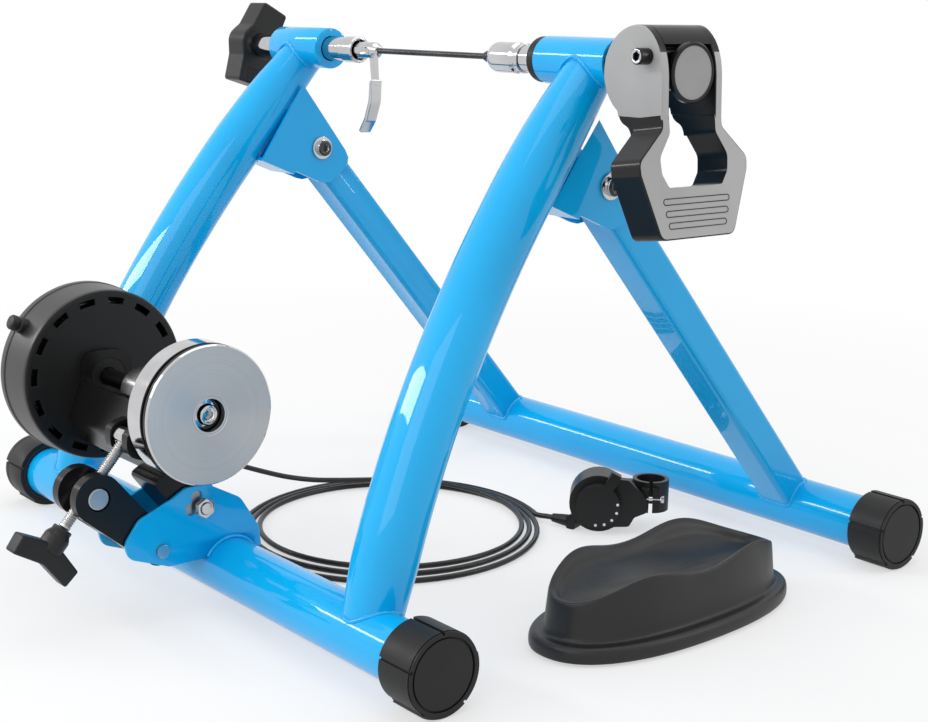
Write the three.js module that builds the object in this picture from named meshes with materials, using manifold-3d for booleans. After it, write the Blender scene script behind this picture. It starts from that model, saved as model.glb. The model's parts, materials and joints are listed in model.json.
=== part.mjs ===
// Rear-wheel turbo trainer: a folding A-frame stand, two axle clamps and a magnetic unit.
// Millimetres, +Z up, +X along the wheel axle towards the side with the cam lever, +Y to the folding leg.
import * as THREE from "three";
import { mergeVertices } from "three/addons/utils/BufferGeometryUtils.js";
import Module from "manifold-3d";

const wasm = await Module();
wasm.setup();

// Driving dimensions.
const STAND_HALF_WIDTH = 268;
const AXLE_HEIGHT = 362;
const MAIN_BASE_Y = -195;
const FOLD_BASE_Y = 228;
const BASE_TUBE_R = 19.5;
const UPRIGHT_R = 20.5;
const FOOT_R = 26.8;
const BUSHING_R = 15.5;
const BUSHING_INNER = 126.4;
const BUSHING_OUTER = 192.4;
const CLAMP_SHAFT_R = 8.9;
const FLYWHEEL_R = 45.7;
const HOUSING_R = 60;
const LEG_DEPTH = 26.5;
const LEG_WIDTH = 30;
const PLATE = 2.5;
const CABLE_R = 2.1;

// Small sizes that many pieces use: seat gap, running clearance, cutting overrun, broken edge, tube wall.
const GAP = 0.3;
const RUN = 0.4;
const OVER = 1;
const EDGE = 1;
const WALL = 1.8;
const TINY = 0.02;
const MERGE = 1e-4;
const THROUGH = STAND_HALF_WIDTH + AXLE_HEIGHT;
const TAU = Math.PI * 2;
const HALF = 0.5;
const DEG = Math.PI / 180;
const FINE = 32;
const ROUND = 22;
const SMALL = 14;
const BIT = 10;

// A closed geometry as a manifold-3d solid, for the cuts and joins.
function solid(geometry) {
  const flat = geometry.index ? geometry.toNonIndexed() : geometry;
  const bare = new THREE.BufferGeometry();
  bare.setAttribute("position", flat.getAttribute("position"));
  const merged = mergeVertices(bare, MERGE);
  const points = merged.attributes.position.array;
  const index = merged.index.array;
  const kept = [];
  let volume = 0;
  for (let i = 0; i < index.length; i += 3) {
    const [a, b, c] = [index[i], index[i + 1], index[i + 2]];
    if (a === b || b === c || a === c) continue;
    kept.push(a, b, c);
    const p = new THREE.Vector3().fromArray(points, a * 3);
    const q = new THREE.Vector3().fromArray(points, b * 3);
    const r = new THREE.Vector3().fromArray(points, c * 3);
    volume += p.dot(q.cross(r));
  }
  if (volume < 0) {
    for (let i = 0; i < kept.length; i += 3) {
      [kept[i + 1], kept[i + 2]] = [kept[i + 2], kept[i + 1]];
    }
  }
  const triVerts = new Uint32Array(kept);
  return new wasm.Manifold(new wasm.Mesh({ numProp: 3, vertProperties: points, triVerts }));
}

// The largest single body of a solid, so that no sliver of a cut is left beside it.
function mainBody(made) {
  const bodies = made.decompose();
  let best = bodies[0];
  for (const body of bodies) if (body.volume() > best.volume()) best = body;
  return best;
}

// A turned solid about the named axis: the profile holds [radius, place along the axis].
function turned(axis, profile, sides, at) {
  const points = profile.map(([r, along]) => new THREE.Vector2(r, along));
  const geometry = new THREE.LatheGeometry(points, sides);
  if (axis === "x") geometry.rotateZ(-Math.PI / 2);
  if (axis === "z") geometry.rotateX(Math.PI / 2);
  geometry.translate(at[0], at[1], at[2]);
  return solid(geometry);
}

// A round bar from one place to another along an axis.
function bar(axis, r, from, to, sides, at) {
  return turned(axis, [[0, from], [r, from], [r, to], [0, to]], sides, at);
}

// A ring or sleeve: a bar with a bore right through it.
function sleeve(axis, r, bore, from, to, sides, at) {
  return turned(axis, [[bore, from], [r, from], [r, to], [bore, to], [bore, from]], sides, at);
}

// A six-sided nut with a round bore.
function nut(axis, r, bore, from, to, at) {
  return cut(bar(axis, r, from, to, 6, at), bar(axis, bore, from - OVER, to + OVER, SMALL, at));
}

// An outline extruded along x (outline in y, z), along y (in x, z) or along z (in x, y).
function slab(axis, shape, from, to, curveSegments = 3) {
  const depth = to - from;
  const geometry = new THREE.ExtrudeGeometry(shape, { depth, bevelEnabled: false, curveSegments });
  geometry.translate(0, 0, from);
  const m = new THREE.Matrix4();
  const [ex, ey, ez] = [new THREE.Vector3(1, 0, 0), new THREE.Vector3(0, 1, 0), new THREE.Vector3(0, 0, 1)];
  if (axis === "x") m.makeBasis(ey, ez, ex);
  if (axis === "y") m.makeBasis(ex, ez, ey);
  geometry.applyMatrix4(m);
  return solid(geometry);
}

// The corners of an outline, given as shares of a size about a place: each is [a, b, rounding].
function corners(shares, size, at) {
  return shares.map(([a, b, r = 0]) => [at[0] + a * size, at[1] + b * size, r * size]);
}

// The corners of one half of an outline, and of the other half mirrored about zero.
function bothHalves(half) {
  return [...half, ...half.map(([a, b, r]) => [-a, b, r]).reverse()];
}

// An outline whose corners are rounded: each corner is [a, b, radius].
function rounded(points) {
  const shape = new THREE.Shape();
  const n = points.length;
  for (let i = 0; i < n; i += 1) {
    const here = new THREE.Vector2(points[i][0], points[i][1]);
    const before = new THREE.Vector2(...points[(i + n - 1) % n].slice(0, 2));
    const after = new THREE.Vector2(...points[(i + 1) % n].slice(0, 2));
    const r = points[i][2] ?? 0;
    const a = before.sub(here);
    const b = after.sub(here);
    const angle = Math.acos(THREE.MathUtils.clamp(a.dot(b) / (a.length() * b.length()), -1, 1));
    const back = Math.min(r / Math.tan(angle / 2), a.length() * HALF, b.length() * HALF);
    const start = here.clone().add(a.setLength(back || TINY));
    const end = here.clone().add(b.setLength(back || TINY));
    if (i === 0) shape.moveTo(start.x, start.y);
    else shape.lineTo(start.x, start.y);
    if (r > 0) shape.quadraticCurveTo(here.x, here.y, end.x, end.y);
    else shape.lineTo(end.x, end.y);
  }
  shape.closePath();
  return shape;
}

// Carries an outline on: a row of two shares is a straight run, a row of four bends round a corner.
function carriedOn(shape, shares, size, at) {
  for (const row of shares) {
    const run = row.map((share, i) => at[i % 2] + share * size);
    if (run.length === 2) shape.lineTo(...run);
    else shape.quadraticCurveTo(...run);
  }
  shape.closePath();
  return shape;
}

// A rectangle between two corners, with one rounding.
function oblong(a0, b0, a1, b1, r = 0) {
  return rounded([[a0, b0, r], [a1, b0, r], [a1, b1, r], [a0, b1, r]]);
}

// A round bar or pipe along a smooth curve.
function swept(curve, r, bore, steps, sides) {
  const shape = new THREE.Shape();
  shape.absarc(0, 0, r, 0, TAU, false);
  if (bore > 0) {
    const hole = new THREE.Path();
    hole.absarc(0, 0, bore, 0, TAU, true);
    shape.holes.push(hole);
  }
  const options = { steps, bevelEnabled: false, extrudePath: curve, curveSegments: sides };
  return solid(new THREE.ExtrudeGeometry(shape, options));
}

// Joins and cuts of any number of solids.
const join = (...all) => all.reduce((a, b) => a.add(b));
const cut = (body, ...tools) => tools.reduce((a, b) => a.subtract(b), body);
const mirrored = (made) => made.mirror([1, 0, 0]);

// Each finish: colour, roughness, metalness.
const finishes = {
  blue: [0x1da8f0, 0.28, 0.1],
  black: [0x1c1c1e, 0.45, 0],
  rubber: [0x242424, 0.8, 0],
  chrome: [0xd8dadc, 0.12, 1],
  steel: [0xaeb1b4, 0.3, 1],
};
const group = new THREE.Group();

// Adds a finished solid to the group as one named mesh.
function piece(name, made, finish) {
  const out = mainBody(made).getMesh();
  const geometry = new THREE.BufferGeometry();
  const stride = out.numProp;
  const count = out.vertProperties.length / stride;
  const place = new Float32Array(count * 3);
  for (let i = 0; i < count; i += 1) {
    for (let k = 0; k < 3; k += 1) place[i * 3 + k] = out.vertProperties[i * stride + k];
  }
  geometry.setAttribute("position", new THREE.BufferAttribute(place, 3));
  geometry.setIndex(new THREE.BufferAttribute(new Uint32Array(out.triVerts), 1));
  geometry.computeVertexNormals();
  const [color, roughness, metalness] = finishes[finish];
  const mesh = new THREE.Mesh(geometry, new THREE.MeshStandardMaterial({ color, roughness, metalness }));
  mesh.name = name;
  group.add(mesh);
}

// Base tubes.
const baseZ = FOOT_R;
const footLength = 29.5;
const footFloor = 6;
const tubeHalf = STAND_HALF_WIDTH - footFloor - RUN;
const mainBase = [0, MAIN_BASE_Y, baseZ];
const foldBase = [0, FOLD_BASE_Y, baseZ];
const baseBore = BASE_TUBE_R - WALL;
piece("main_base_tube", sleeve("x", BASE_TUBE_R, baseBore, -tubeHalf, tubeHalf, FINE, mainBase), "blue");
piece("fold_base_tube", sleeve("x", BASE_TUBE_R, baseBore, -tubeHalf, tubeHalf, FINE, foldBase), "blue");

// Feet: stepped caps in five sectors, each with its own radius, turned to level the stand.
const footSectors = 5;
const footStep = 0.45;
const footNotch = 1.6;
const footNotchDepth = 1.3;
const footArcSteps = 5;
function footShape() {
  const shape = new THREE.Shape();
  const sector = TAU / footSectors;
  const notch = footNotch / FOOT_R;
  let first = true;
  for (let s = 0; s < footSectors; s += 1) {
    const r = FOOT_R - s * footStep;
    const start = -Math.PI / 2 - sector / 2 + s * sector;
    const low = r - footNotchDepth;
    const stations = [[low, 0], [low, notch]];
    for (let k = 0; k <= footArcSteps; k += 1) {
      stations.push([r, notch + ((sector - notch) * k) / footArcSteps]);
    }
    for (const [radius, turn] of stations) {
      const a = radius * Math.cos(start + turn);
      const b = radius * Math.sin(start + turn);
      if (first) shape.moveTo(a, b);
      else shape.lineTo(a, b);
      first = false;
    }
  }
  shape.closePath();
  return shape;
}
const footRim = 2.6;
const footRing = 1.1;
const footRingDepth = 1.6;
function foot(baseY) {
  const inner = STAND_HALF_WIDTH - footLength;
  const at = [0, baseY, baseZ];
  const block = slab("x", footShape(), inner, STAND_HALF_WIDTH).translate([0, baseY, baseZ]);
  const socketEnd = STAND_HALF_WIDTH - footFloor;
  const socket = bar("x", BASE_TUBE_R + RUN, inner - OVER, socketEnd, ROUND, at);
  const ringR = FOOT_R - (footSectors - 1) * footStep - footRim;
  const ringFrom = STAND_HALF_WIDTH - footRingDepth;
  const ring = sleeve("x", ringR, ringR - footRing, ringFrom, STAND_HALF_WIDTH + OVER, ROUND, at);
  return cut(block, socket, ring);
}
piece("foot_main_right", foot(MAIN_BASE_Y), "rubber");
piece("foot_main_left", mirrored(foot(MAIN_BASE_Y)), "rubber");
piece("foot_fold_right", foot(FOLD_BASE_Y), "rubber");
piece("foot_fold_left", mirrored(foot(FOLD_BASE_Y)), "rubber");

// Uprights: round tubes in one gentle bow from the base tube up to the axle bushing.
const uprightTopX = 165;
const uprightInset = 68.5;
const uprightTopY = 5.7;
const uprightBow = 25.9;
const uprightBack = 3;
const uprightWall = 2.2;
const bowSteps = 6;
class BowCurve extends THREE.Curve {
  getPoint(t) {
    const x = THREE.MathUtils.lerp(uprightTopX, STAND_HALF_WIDTH - uprightInset, t);
    const line = THREE.MathUtils.lerp(uprightTopY, MAIN_BASE_Y - uprightBack, t);
    const y = line - uprightBow * 4 * t * (1 - t);
    const z = THREE.MathUtils.lerp(AXLE_HEIGHT, baseZ, t);
    return new THREE.Vector3(x, y, z);
  }
}
const bow = new BowCurve();
const bowAt = (z) => bow.getPoint((AXLE_HEIGHT - z) / (AXLE_HEIGHT - baseZ));
const axle = [0, 0, AXLE_HEIGHT];
const bushingClear = bar("x", BUSHING_R + GAP, 0, THROUGH, ROUND, axle);
const baseClear = bar("x", BASE_TUBE_R + GAP, 0, THROUGH, FINE, mainBase);
const uprightFull = swept(bow, UPRIGHT_R, UPRIGHT_R - uprightWall, bowSteps, BIT);
const upright = cut(uprightFull, bushingClear, baseClear);
piece("upright_right", upright, "blue");
piece("upright_left", mirrored(upright), "blue");

// Bushings: the sleeves that carry the two axle clamps.
const bushingBore = CLAMP_SHAFT_R + RUN;
const bushing = sleeve("x", BUSHING_R, bushingBore, BUSHING_INNER, BUSHING_OUTER, ROUND, axle);
piece("bushing_right", bushing, "blue");
piece("bushing_left", mirrored(bushing), "blue");

// Gussets: folded channels on the uprights that hold the folding frame.
const legX = 165;
const pivotDrop = 78.6;
const pivotReach = 65.36;
const pivotZ = AXLE_HEIGHT - pivotDrop;
const pivotY = bowAt(pivotZ).y + pivotReach;
const pivotR = 4;
const pivotAt = [0, pivotY, pivotZ];
const cheekInner = LEG_WIDTH / 2 + RUN;
const cheekOuter = cheekInner + PLATE;
const gussetTall = 50;
const gussetSideShares = [
  [-0.34, 1],
  [0.606, -0.238, 0.24],
  [0.13, -0.61, 0.32],
  [-1.08, -0.11],
];
const gussetWebShares = [
  [-1.08, -0.11],
  [-1.1, -0.16],
  [-0.52, -0.398],
  [-0.5, -0.348],
];
const gussetSide = rounded(corners(gussetSideShares, gussetTall, [pivotY, pivotZ]));
const gussetWeb = rounded(corners(gussetWebShares, gussetTall, [pivotY, pivotZ]));
const gussetBlock = join(
  slab("x", gussetSide, legX + cheekInner, legX + cheekOuter),
  slab("x", gussetSide, legX - cheekOuter, legX - cheekInner),
  slab("x", gussetWeb, legX - cheekOuter, legX + cheekOuter),
);
const uprightClear = swept(bow, UPRIGHT_R + GAP, 0, bowSteps, BIT);
const gussetBore = bar("x", pivotR + GAP, 0, THROUGH, SMALL, pivotAt);
const gusset = cut(gussetBlock, uprightClear, bushingClear, gussetBore);
piece("gusset_right", gusset, "blue");
piece("gusset_left", mirrored(gusset), "blue");

// Folding frame: two rectangular legs on one round base tube.
const legEnd = 12;
const legRound = 11;
const legWall = 2;
function legBody() {
  const run = FOLD_BASE_Y - pivotY;
  const drop = pivotZ - baseZ;
  const length = Math.hypot(run, drop);
  const half = LEG_DEPTH / 2;
  const shape = rounded([
    [-legEnd, half, legRound],
    [-legEnd, -half, legRound],
    [length, -half],
    [length, half],
  ]);
  const block = slab("y", shape, -LEG_WIDTH / 2, LEG_WIDTH / 2);
  const hollow = oblong(LEG_DEPTH, legWall - half, length + OVER, half - legWall);
  const core = slab("y", hollow, legWall - LEG_WIDTH / 2, LEG_WIDTH / 2 - legWall);
  const bore = bar("y", pivotR + GAP, -LEG_WIDTH, LEG_WIDTH, SMALL, [0, 0, 0]);
  const along = new THREE.Vector3(0, run, -drop).normalize();
  const side = new THREE.Vector3(1, 0, 0);
  const out = new THREE.Vector3().crossVectors(along, side);
  const m = new THREE.Matrix4().makeBasis(along, side.clone().negate(), out.clone().negate());
  m.setPosition(legX, pivotY, pivotZ);
  return cut(block, core, bore).transform(m.elements);
}
const foldClear = bar("x", BASE_TUBE_R + GAP, 0, THROUGH, FINE, foldBase);
const leg = cut(legBody(), foldClear);
piece("leg_right", leg, "blue");
piece("leg_left", mirrored(leg), "blue");

// Folding pivots: a bolt through each gusset with a washer face and a nut.
const boltHeadR = 6.4;
const boltHead = 4.2;
const boltTail = 8;
const washerR = 9;
const washer = 1.5;
function pivotBolt(headSide) {
  const face = cheekOuter + GAP;
  const shank = face + washer + boltTail;
  const profile = [
    [0, -face - washer - boltHead],
    [boltHeadR, -face - washer - boltHead],
    [boltHeadR, -face - washer],
    [washerR, -face - washer],
    [washerR, -face],
    [pivotR, -face],
    [pivotR, shank],
    [0, shank],
  ];
  const made = turned("x", profile.map(([r, a]) => [r, headSide > 0 ? -a : a]), SMALL, [0, 0, 0]);
  return made.translate([legX, pivotY, pivotZ]);
}
const nutR = 6.6;
const nutLength = 6.5;
function pivotNut(side) {
  const from = cheekOuter + GAP;
  const at = [legX, pivotY, pivotZ];
  const bore = pivotR + GAP;
  return side > 0
    ? nut("x", nutR, bore, from, from + nutLength, at)
    : nut("x", nutR, bore, -from - nutLength, -from, at);
}
piece("fold_bolt_right", pivotBolt(1), "chrome");
piece("fold_nut_right", pivotNut(-1), "chrome");
piece("fold_bolt_left", mirrored(pivotBolt(-1)), "chrome");
piece("fold_nut_left", mirrored(pivotNut(1)), "chrome");

// Bracket plates that carry the resistance unit on the main base tube.
const unitX = 18.5;
const bracketHalf = 17;
const bracketLong = 78;
const bracketShares = [
  [-1, 0.374, 0.115],
  [-0.859, 0.567, 0.128],
  [-0.577, 0.676, 0.103],
  [-0.423, 0.765, 0.103],
  [-0.218, 0.765, 0.103],
  [0.103, 0.592, 0.154],
  [0.282, 0.31, 0.038],
  [0.308, 0.123],
  [-0.59, 0.11, 0.038],
  [-0.962, 0.246, 0.115],
];
const tiltBack = 20.4;
const tiltUp = 44.4;
const tiltY = MAIN_BASE_Y - tiltBack;
const tiltZ = baseZ + tiltUp;
const tiltR = 4;
const tiltAt = [0, tiltY, tiltZ];
const forkBoltBack = 51.5;
const forkBoltUp = 20.8;
const forkBoltY = MAIN_BASE_Y - forkBoltBack;
const forkBoltZ = baseZ + forkBoltUp;
const forkBoltR = 3;
const forkBoltAt = [0, forkBoltY, forkBoltZ];
const slotLobe = 5;
const slotR = 4.4;
const slotTurns = [-30, 90, 210];
const slotY = tiltY - slotLobe * Math.cos(slotTurns[0] * DEG);
const slotZ = tiltZ - slotLobe * Math.sin(slotTurns[0] * DEG);
const lobes = slotTurns.map((turn) => {
  const y = slotY + slotLobe * Math.cos(turn * DEG);
  const z = slotZ + slotLobe * Math.sin(turn * DEG);
  return bar("x", slotR, -THROUGH, THROUGH, SMALL, [0, y, z]);
});
const bracketSide = rounded(corners(bracketShares, bracketLong, [MAIN_BASE_Y, baseZ]));
const mainClearAll = bar("x", BASE_TUBE_R + GAP, -THROUGH, THROUGH, FINE, mainBase);
const forkBore = bar("x", forkBoltR + GAP, -THROUGH, THROUGH, BIT, forkBoltAt);
const bracket = (from) => cut(slab("x", bracketSide, from, from + PLATE), mainClearAll, forkBore, ...lobes);
const nearPlate = unitX + bracketHalf;
const farPlate = unitX - bracketHalf - PLATE;
piece("bracket_near", bracket(nearPlate), "blue");
piece("bracket_far", bracket(farPlate), "blue");

// Tilt bolt: the shaft that the resistance unit swings on.
const tiltHeadR = 7.2;
const tiltHead = 5;
const tiltNutR = 6.8;
const tiltNut = 3.6;
const plateFaces = [farPlate - GAP, nearPlate + PLATE + GAP];
const tiltProfile = [
  [0, plateFaces[0] - tiltHead],
  [tiltHeadR, plateFaces[0] - tiltHead],
  [tiltHeadR, plateFaces[0]],
  [tiltR, plateFaces[0]],
  [tiltR, plateFaces[1] + tiltHead],
  [0, plateFaces[1] + tiltHead],
];
piece("tilt_bolt", turned("x", tiltProfile, SMALL, tiltAt), "chrome");
const tiltNutBody = nut("x", tiltNutR, tiltR + GAP, plateFaces[1], plateFaces[1] + tiltNut, tiltAt);
piece("tilt_nut", tiltNutBody, "chrome");

// Fork: the black clevis between the plates whose ears hold the adjuster's cross pin.
const pinBack = 92.9;
const pinUp = 61.8;
const pinY = MAIN_BASE_Y - pinBack;
const pinZ = baseZ + pinUp;
const crossPinR = 7.5;
const earR = 16.2;
const earHalf = 16.4;
const forkWeb = 8.4;
const forkRoot = 2;
const forkRound = 6;
const heelR = 11;
function forkBody() {
  const neck = new THREE.Vector2(forkBoltY - pinY, forkBoltZ - pinZ);
  const length = neck.length();
  const shape = new THREE.Shape();
  shape.absarc(0, 0, earR, Math.PI / 2, -Math.PI / 2, false);
  shape.lineTo(length, -heelR);
  shape.absarc(length, 0, heelR, -Math.PI / 2, Math.PI / 2, false);
  shape.closePath();
  const block = slab("x", shape, unitX - earHalf, unitX + earHalf, 8);
  const slotShape = rounded([
    [-earR - OVER, earR + OVER],
    [-earR - OVER, -earR - OVER],
    [earR + forkRoot, -earR - OVER, forkRound],
    [earR + forkRoot, earR + OVER, forkRound],
  ]);
  const slot = slab("x", slotShape, unitX - forkWeb, unitX + forkWeb);
  const bore = bar("x", crossPinR + RUN, -THROUGH, THROUGH, ROUND, [0, 0, 0]);
  const turn = Math.atan2(neck.y, neck.x) / DEG;
  const placed = cut(block, slot, bore).rotate([turn, 0, 0]).translate([0, pinY, pinZ]);
  return cut(placed, forkBore, mainClearAll);
}
piece("adjuster_fork", forkBody(), "black");
const rivetHeadR = 4.6;
const rivetHead = 2.6;
const rivetProfile = [
  [0, plateFaces[0] - rivetHead],
  [rivetHeadR, plateFaces[0] - rivetHead],
  [rivetHeadR, plateFaces[0]],
  [forkBoltR, plateFaces[0]],
  [forkBoltR, plateFaces[1]],
  [rivetHeadR, plateFaces[1]],
  [rivetHeadR, plateFaces[1] + rivetHead],
  [0, plateFaces[1] + rivetHead],
];
piece("fork_rivet", turned("x", rivetProfile, BIT, forkBoltAt), "chrome");

// Adjuster: a T-knob on a screw that runs through the cross pin to a barrel on the yoke.
const barrelBack = 64.1;
const barrelUp = 94.7;
const barrelY = MAIN_BASE_Y - barrelBack;
const barrelZ = baseZ + barrelUp;
const barrelR = 6.6;
const barrelHalf = 9.6;
const barrelSkin = 2.4;
const screwR = 3.9;
const screwTail = 26;
const screwAim = new THREE.Vector2(barrelY - pinY, barrelZ - pinZ);
const screwSpan = screwAim.length();
const screwTurn = Math.atan2(screwAim.y, screwAim.x) / DEG;
const toScrew = (made) => made.rotate([screwTurn, 0, 0]).translate([unitX, pinY, pinZ]);
const pinCentre = [0, 0, 0];
const crossPin = cut(
  bar("x", crossPinR, HALF - earHalf, earHalf - HALF, ROUND, pinCentre),
  bar("y", screwR + RUN, -THROUGH, THROUGH, SMALL, pinCentre),
);
piece("cross_pin", toScrew(crossPin), "chrome");
const barrelFar = screwSpan + barrelR;
const barrelBody = cut(
  bar("x", barrelR, -barrelHalf, barrelHalf, ROUND, [0, screwSpan, 0]),
  bar("y", screwR + RUN, screwSpan - barrelR * 2, barrelFar - barrelSkin, SMALL, pinCentre),
);
piece("barrel_nut", toScrew(barrelBody), "chrome");
const screwEnd = barrelFar - barrelSkin - RUN;
piece("adjuster_screw", toScrew(bar("y", screwR, -screwTail, screwEnd, SMALL, pinCentre)), "steel");
const knobHubR = 8.6;
const knobHub = 17;
const knobShoulder = 7;
const knobNeckR = 6.6;
const knobNeck = 3;
const knobBar = 24;
const knobEnd = 6.4;
const knobBarShares = [
  [-0.45, -0.24, 0.13],
  [-0.72, -1, 0.14],
  [-1.25, -0.92, 0.14],
  [-1, 0, 0.26],
  [-1.25, 0.92, 0.14],
  [-0.72, 1, 0.14],
  [-0.45, 0.24, 0.13],
];
function adjusterKnob() {
  const top = -screwTail - GAP;
  const hubProfile = [
    [0, top - knobHub],
    [knobHubR, top - knobHub],
    [knobHubR, top - knobShoulder],
    [knobNeckR, top - knobNeck],
    [knobNeckR, top],
    [0, top],
  ];
  const hub = turned("y", hubProfile, SMALL, pinCentre);
  const wing = rounded(corners(knobBarShares, knobBar, [top, 0]));
  return join(hub, slab("x", wing, -knobEnd, knobEnd));
}
piece("adjuster_knob", toScrew(adjusterKnob()), "black");

// Yoke: the swinging bracket that carries the drive shaft between its two arms.
const shaftBack = 29.5;
const shaftUp = 113.2;
const shaftY = MAIN_BASE_Y - shaftBack;
const shaftZ = baseZ + shaftUp;
const shaftAt = [0, shaftY, shaftZ];
const shaftR = 6;
const armR = 19;
const armLeftFrom = -78;
const armLeftTo = -73;
const armRightFrom = 30.5;
const armRightTo = 36;
const bearingR = 13;
const armShares = [
  [-1, -0.105, 0.316],
  [-1, 1, 0.895],
  [1, 1, 0.895],
  [1, -0.737, 0.316],
  [0.474, -2.421, 0.158],
  [-0.211, -2.495, 0.158],
  [-0.974, -2.316, 0.421],
  [-1.5, -1.474, 0.526],
];
const webShares = [
  [-1.005, -0.053, 0.053],
  [-1.5, -1.421, 0.316],
  [-1.026, -2.316, 0.263],
  [-0.237, -2.611, 0.158],
  [0.658, -2.611, 0.053],
  [0.658, -2.4, 0.053],
  [-0.184, -2.4, 0.158],
  [-0.842, -2.158, 0.211],
  [-1.258, -1.421, 0.263],
  [-0.795, -0.105, 0.053],
];
const kneeShares = [
  [-0.868, -2.263, 0.211],
  [-1.342, -2.526, 0.211],
  [-0.342, -3.789, 0.474],
  [0.026, -4.237, 0.316],
  [0.868, -4.237, 0.421],
  [1.053, -3.474, 0.421],
  [0.816, -2.474, 0.211],
];
const jawR = 8.4;
const jawShares = [
  [1.202, -1.845, 0.238],
  [-0.893, -1.071, 0.952],
  [-1, 0.833, 0.952],
  [0.845, 1.25, 0.476],
  [1.44, 0.298, 0.238],
];
const mouthShares = [
  [-3.68, -2.56],
  [0.56, -2.56],
  [1.51, 1.845],
  [-3.68, 1.845],
];
const jawHalf = 15;
function yokeBody() {
  const about = [shaftY, shaftZ];
  const aboutBarrel = [barrelY, barrelZ];
  const side = rounded(corners(armShares, armR, about));
  const kneeHalf = bracketHalf - HALF;
  const seatHalf = barrelHalf + RUN;
  const body = join(
    slab("x", side, armLeftFrom, armLeftTo),
    slab("x", side, armRightFrom, armRightTo),
    slab("x", rounded(corners(webShares, armR, about)), armLeftFrom, armRightTo),
    slab("x", rounded(corners(kneeShares, armR, about)), unitX - kneeHalf, unitX + kneeHalf),
    slab("x", rounded(corners(jawShares, jawR, aboutBarrel)), unitX - jawHalf, unitX + jawHalf),
  );
  return cut(
    body,
    slab("x", rounded(corners(mouthShares, jawR, aboutBarrel)), unitX - screwR * 2, unitX + screwR * 2),
    bar("x", barrelR + RUN, unitX - seatHalf, unitX + seatHalf, ROUND, [0, barrelY, barrelZ]),
    bar("x", bearingR + GAP, -THROUGH, THROUGH, ROUND, shaftAt),
    bar("x", tiltR + RUN, -THROUGH, THROUGH, SMALL, tiltAt),
    mainClearAll,
  );
}
piece("yoke", yokeBody(), "black");

// Drive shaft, bearings and the waisted roller that the tyre runs on.
const flyGap = 4.2;
const flyWidth = 24.7;
const flyBack = armRightTo + flyGap;
const flyFront = flyBack + flyWidth;
const hubRecess = 8;
const hubR = 11.4;
const shaftSink = 4;
const shaftPast = 15;
const shaftFrom = armLeftFrom - shaftPast;
const shaftTo = flyFront - hubRecess - shaftSink;
piece("drive_shaft", bar("x", shaftR, shaftFrom, shaftTo, SMALL, shaftAt), "steel");
const onShaft = shaftR + GAP;
piece("bearing_left", sleeve("x", bearingR, onShaft, armLeftFrom, armLeftTo, ROUND, shaftAt), "steel");
piece("bearing_right", sleeve("x", bearingR, onShaft, armRightFrom, armRightTo, ROUND, shaftAt), "steel");
const rollerX = -1;
const rollerR = 15.4;
const rollerHalf = 27.5;
const rollerWaist = 14.6;
const rollerEdge = 2;
const rollerProfile = [
  [onShaft, -rollerHalf],
  [rollerR - rollerEdge, -rollerHalf],
  [rollerR, rollerEdge - rollerHalf],
  [rollerWaist, 0],
  [rollerR, rollerHalf - rollerEdge],
  [rollerR - rollerEdge, rollerHalf],
  [onShaft, rollerHalf],
  [onShaft, -rollerHalf],
];
piece("roller", turned("x", rollerProfile, ROUND, [rollerX, shaftY, shaftZ]), "steel");

// Flywheel: a solid disc with a groove round its rim and a recess for its bolt.
const flyGroove = 3;
const flyGrooveFrom = flyFront - 7.4;
const flyGrooveTo = flyFront - 3.8;
const flyEdge = 1.2;
const flyProfile = [
  [onShaft, flyBack],
  [FLYWHEEL_R - flyEdge, flyBack],
  [FLYWHEEL_R, flyBack + flyEdge],
  [FLYWHEEL_R, flyGrooveFrom],
  [FLYWHEEL_R - flyGroove, flyGrooveFrom],
  [FLYWHEEL_R - flyGroove, flyGrooveTo],
  [FLYWHEEL_R, flyGrooveTo],
  [FLYWHEEL_R, flyFront - flyEdge],
  [FLYWHEEL_R - flyEdge, flyFront],
  [hubR, flyFront],
  [hubR - EDGE, flyFront - hubRecess],
  [onShaft, flyFront - hubRecess],
  [onShaft, flyBack],
];
piece("flywheel", turned("x", flyProfile, FINE, shaftAt), "chrome");
const flyWasherR = 8.6;
const flyWasher = 2;
const flyBoltR = 5.4;
const recessFloor = flyFront - hubRecess;
const flyBoltProfile = [
  [0, shaftTo + GAP],
  [shaftR - EDGE, shaftTo + GAP],
  [shaftR - EDGE, recessFloor + GAP],
  [flyWasherR, recessFloor + GAP],
  [flyWasherR, recessFloor + flyWasher],
  [flyBoltR, recessFloor + flyWasher],
  [flyBoltR, flyFront - EDGE],
  [0, flyFront - EDGE],
];
piece("flywheel_bolt", turned("x", flyBoltProfile, SMALL, shaftAt), "chrome");

// Magnet housing: a drum in two moulded halves with a ring of vents, a rotor and two magnet rings.
const drumFrontLong = 29.3;
const drumRearLong = 9.9;
const drumFace = armLeftFrom - GAP;
const drumSeam = drumFace - drumFrontLong;
const drumBack = drumSeam - drumRearLong;
const drumWall = 2.6;
const drumHole = 15;
const drumEdge = 2;
const drumDraft = 1;
const ventCount = 15;
const ventTurn = 7 * DEG;
const ventArc = 13 * DEG;
const ventInset = 7.4;
const ventHalf = 2.6;
function vents() {
  const all = [];
  const middle = HOUSING_R - ventInset;
  for (let i = 0; i < ventCount; i += 1) {
    const at = (i / ventCount) * TAU + ventTurn;
    const shape = new THREE.Shape();
    shape.absarc(0, 0, middle + ventHalf, at - ventArc / 2, at + ventArc / 2, false);
    shape.absarc(0, 0, middle - ventHalf, at + ventArc / 2, at - ventArc / 2, true);
    shape.closePath();
    all.push(slab("x", shape, drumFace - drumWall - OVER, drumFace + OVER, 1).translate(shaftAt));
  }
  return all;
}
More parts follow.
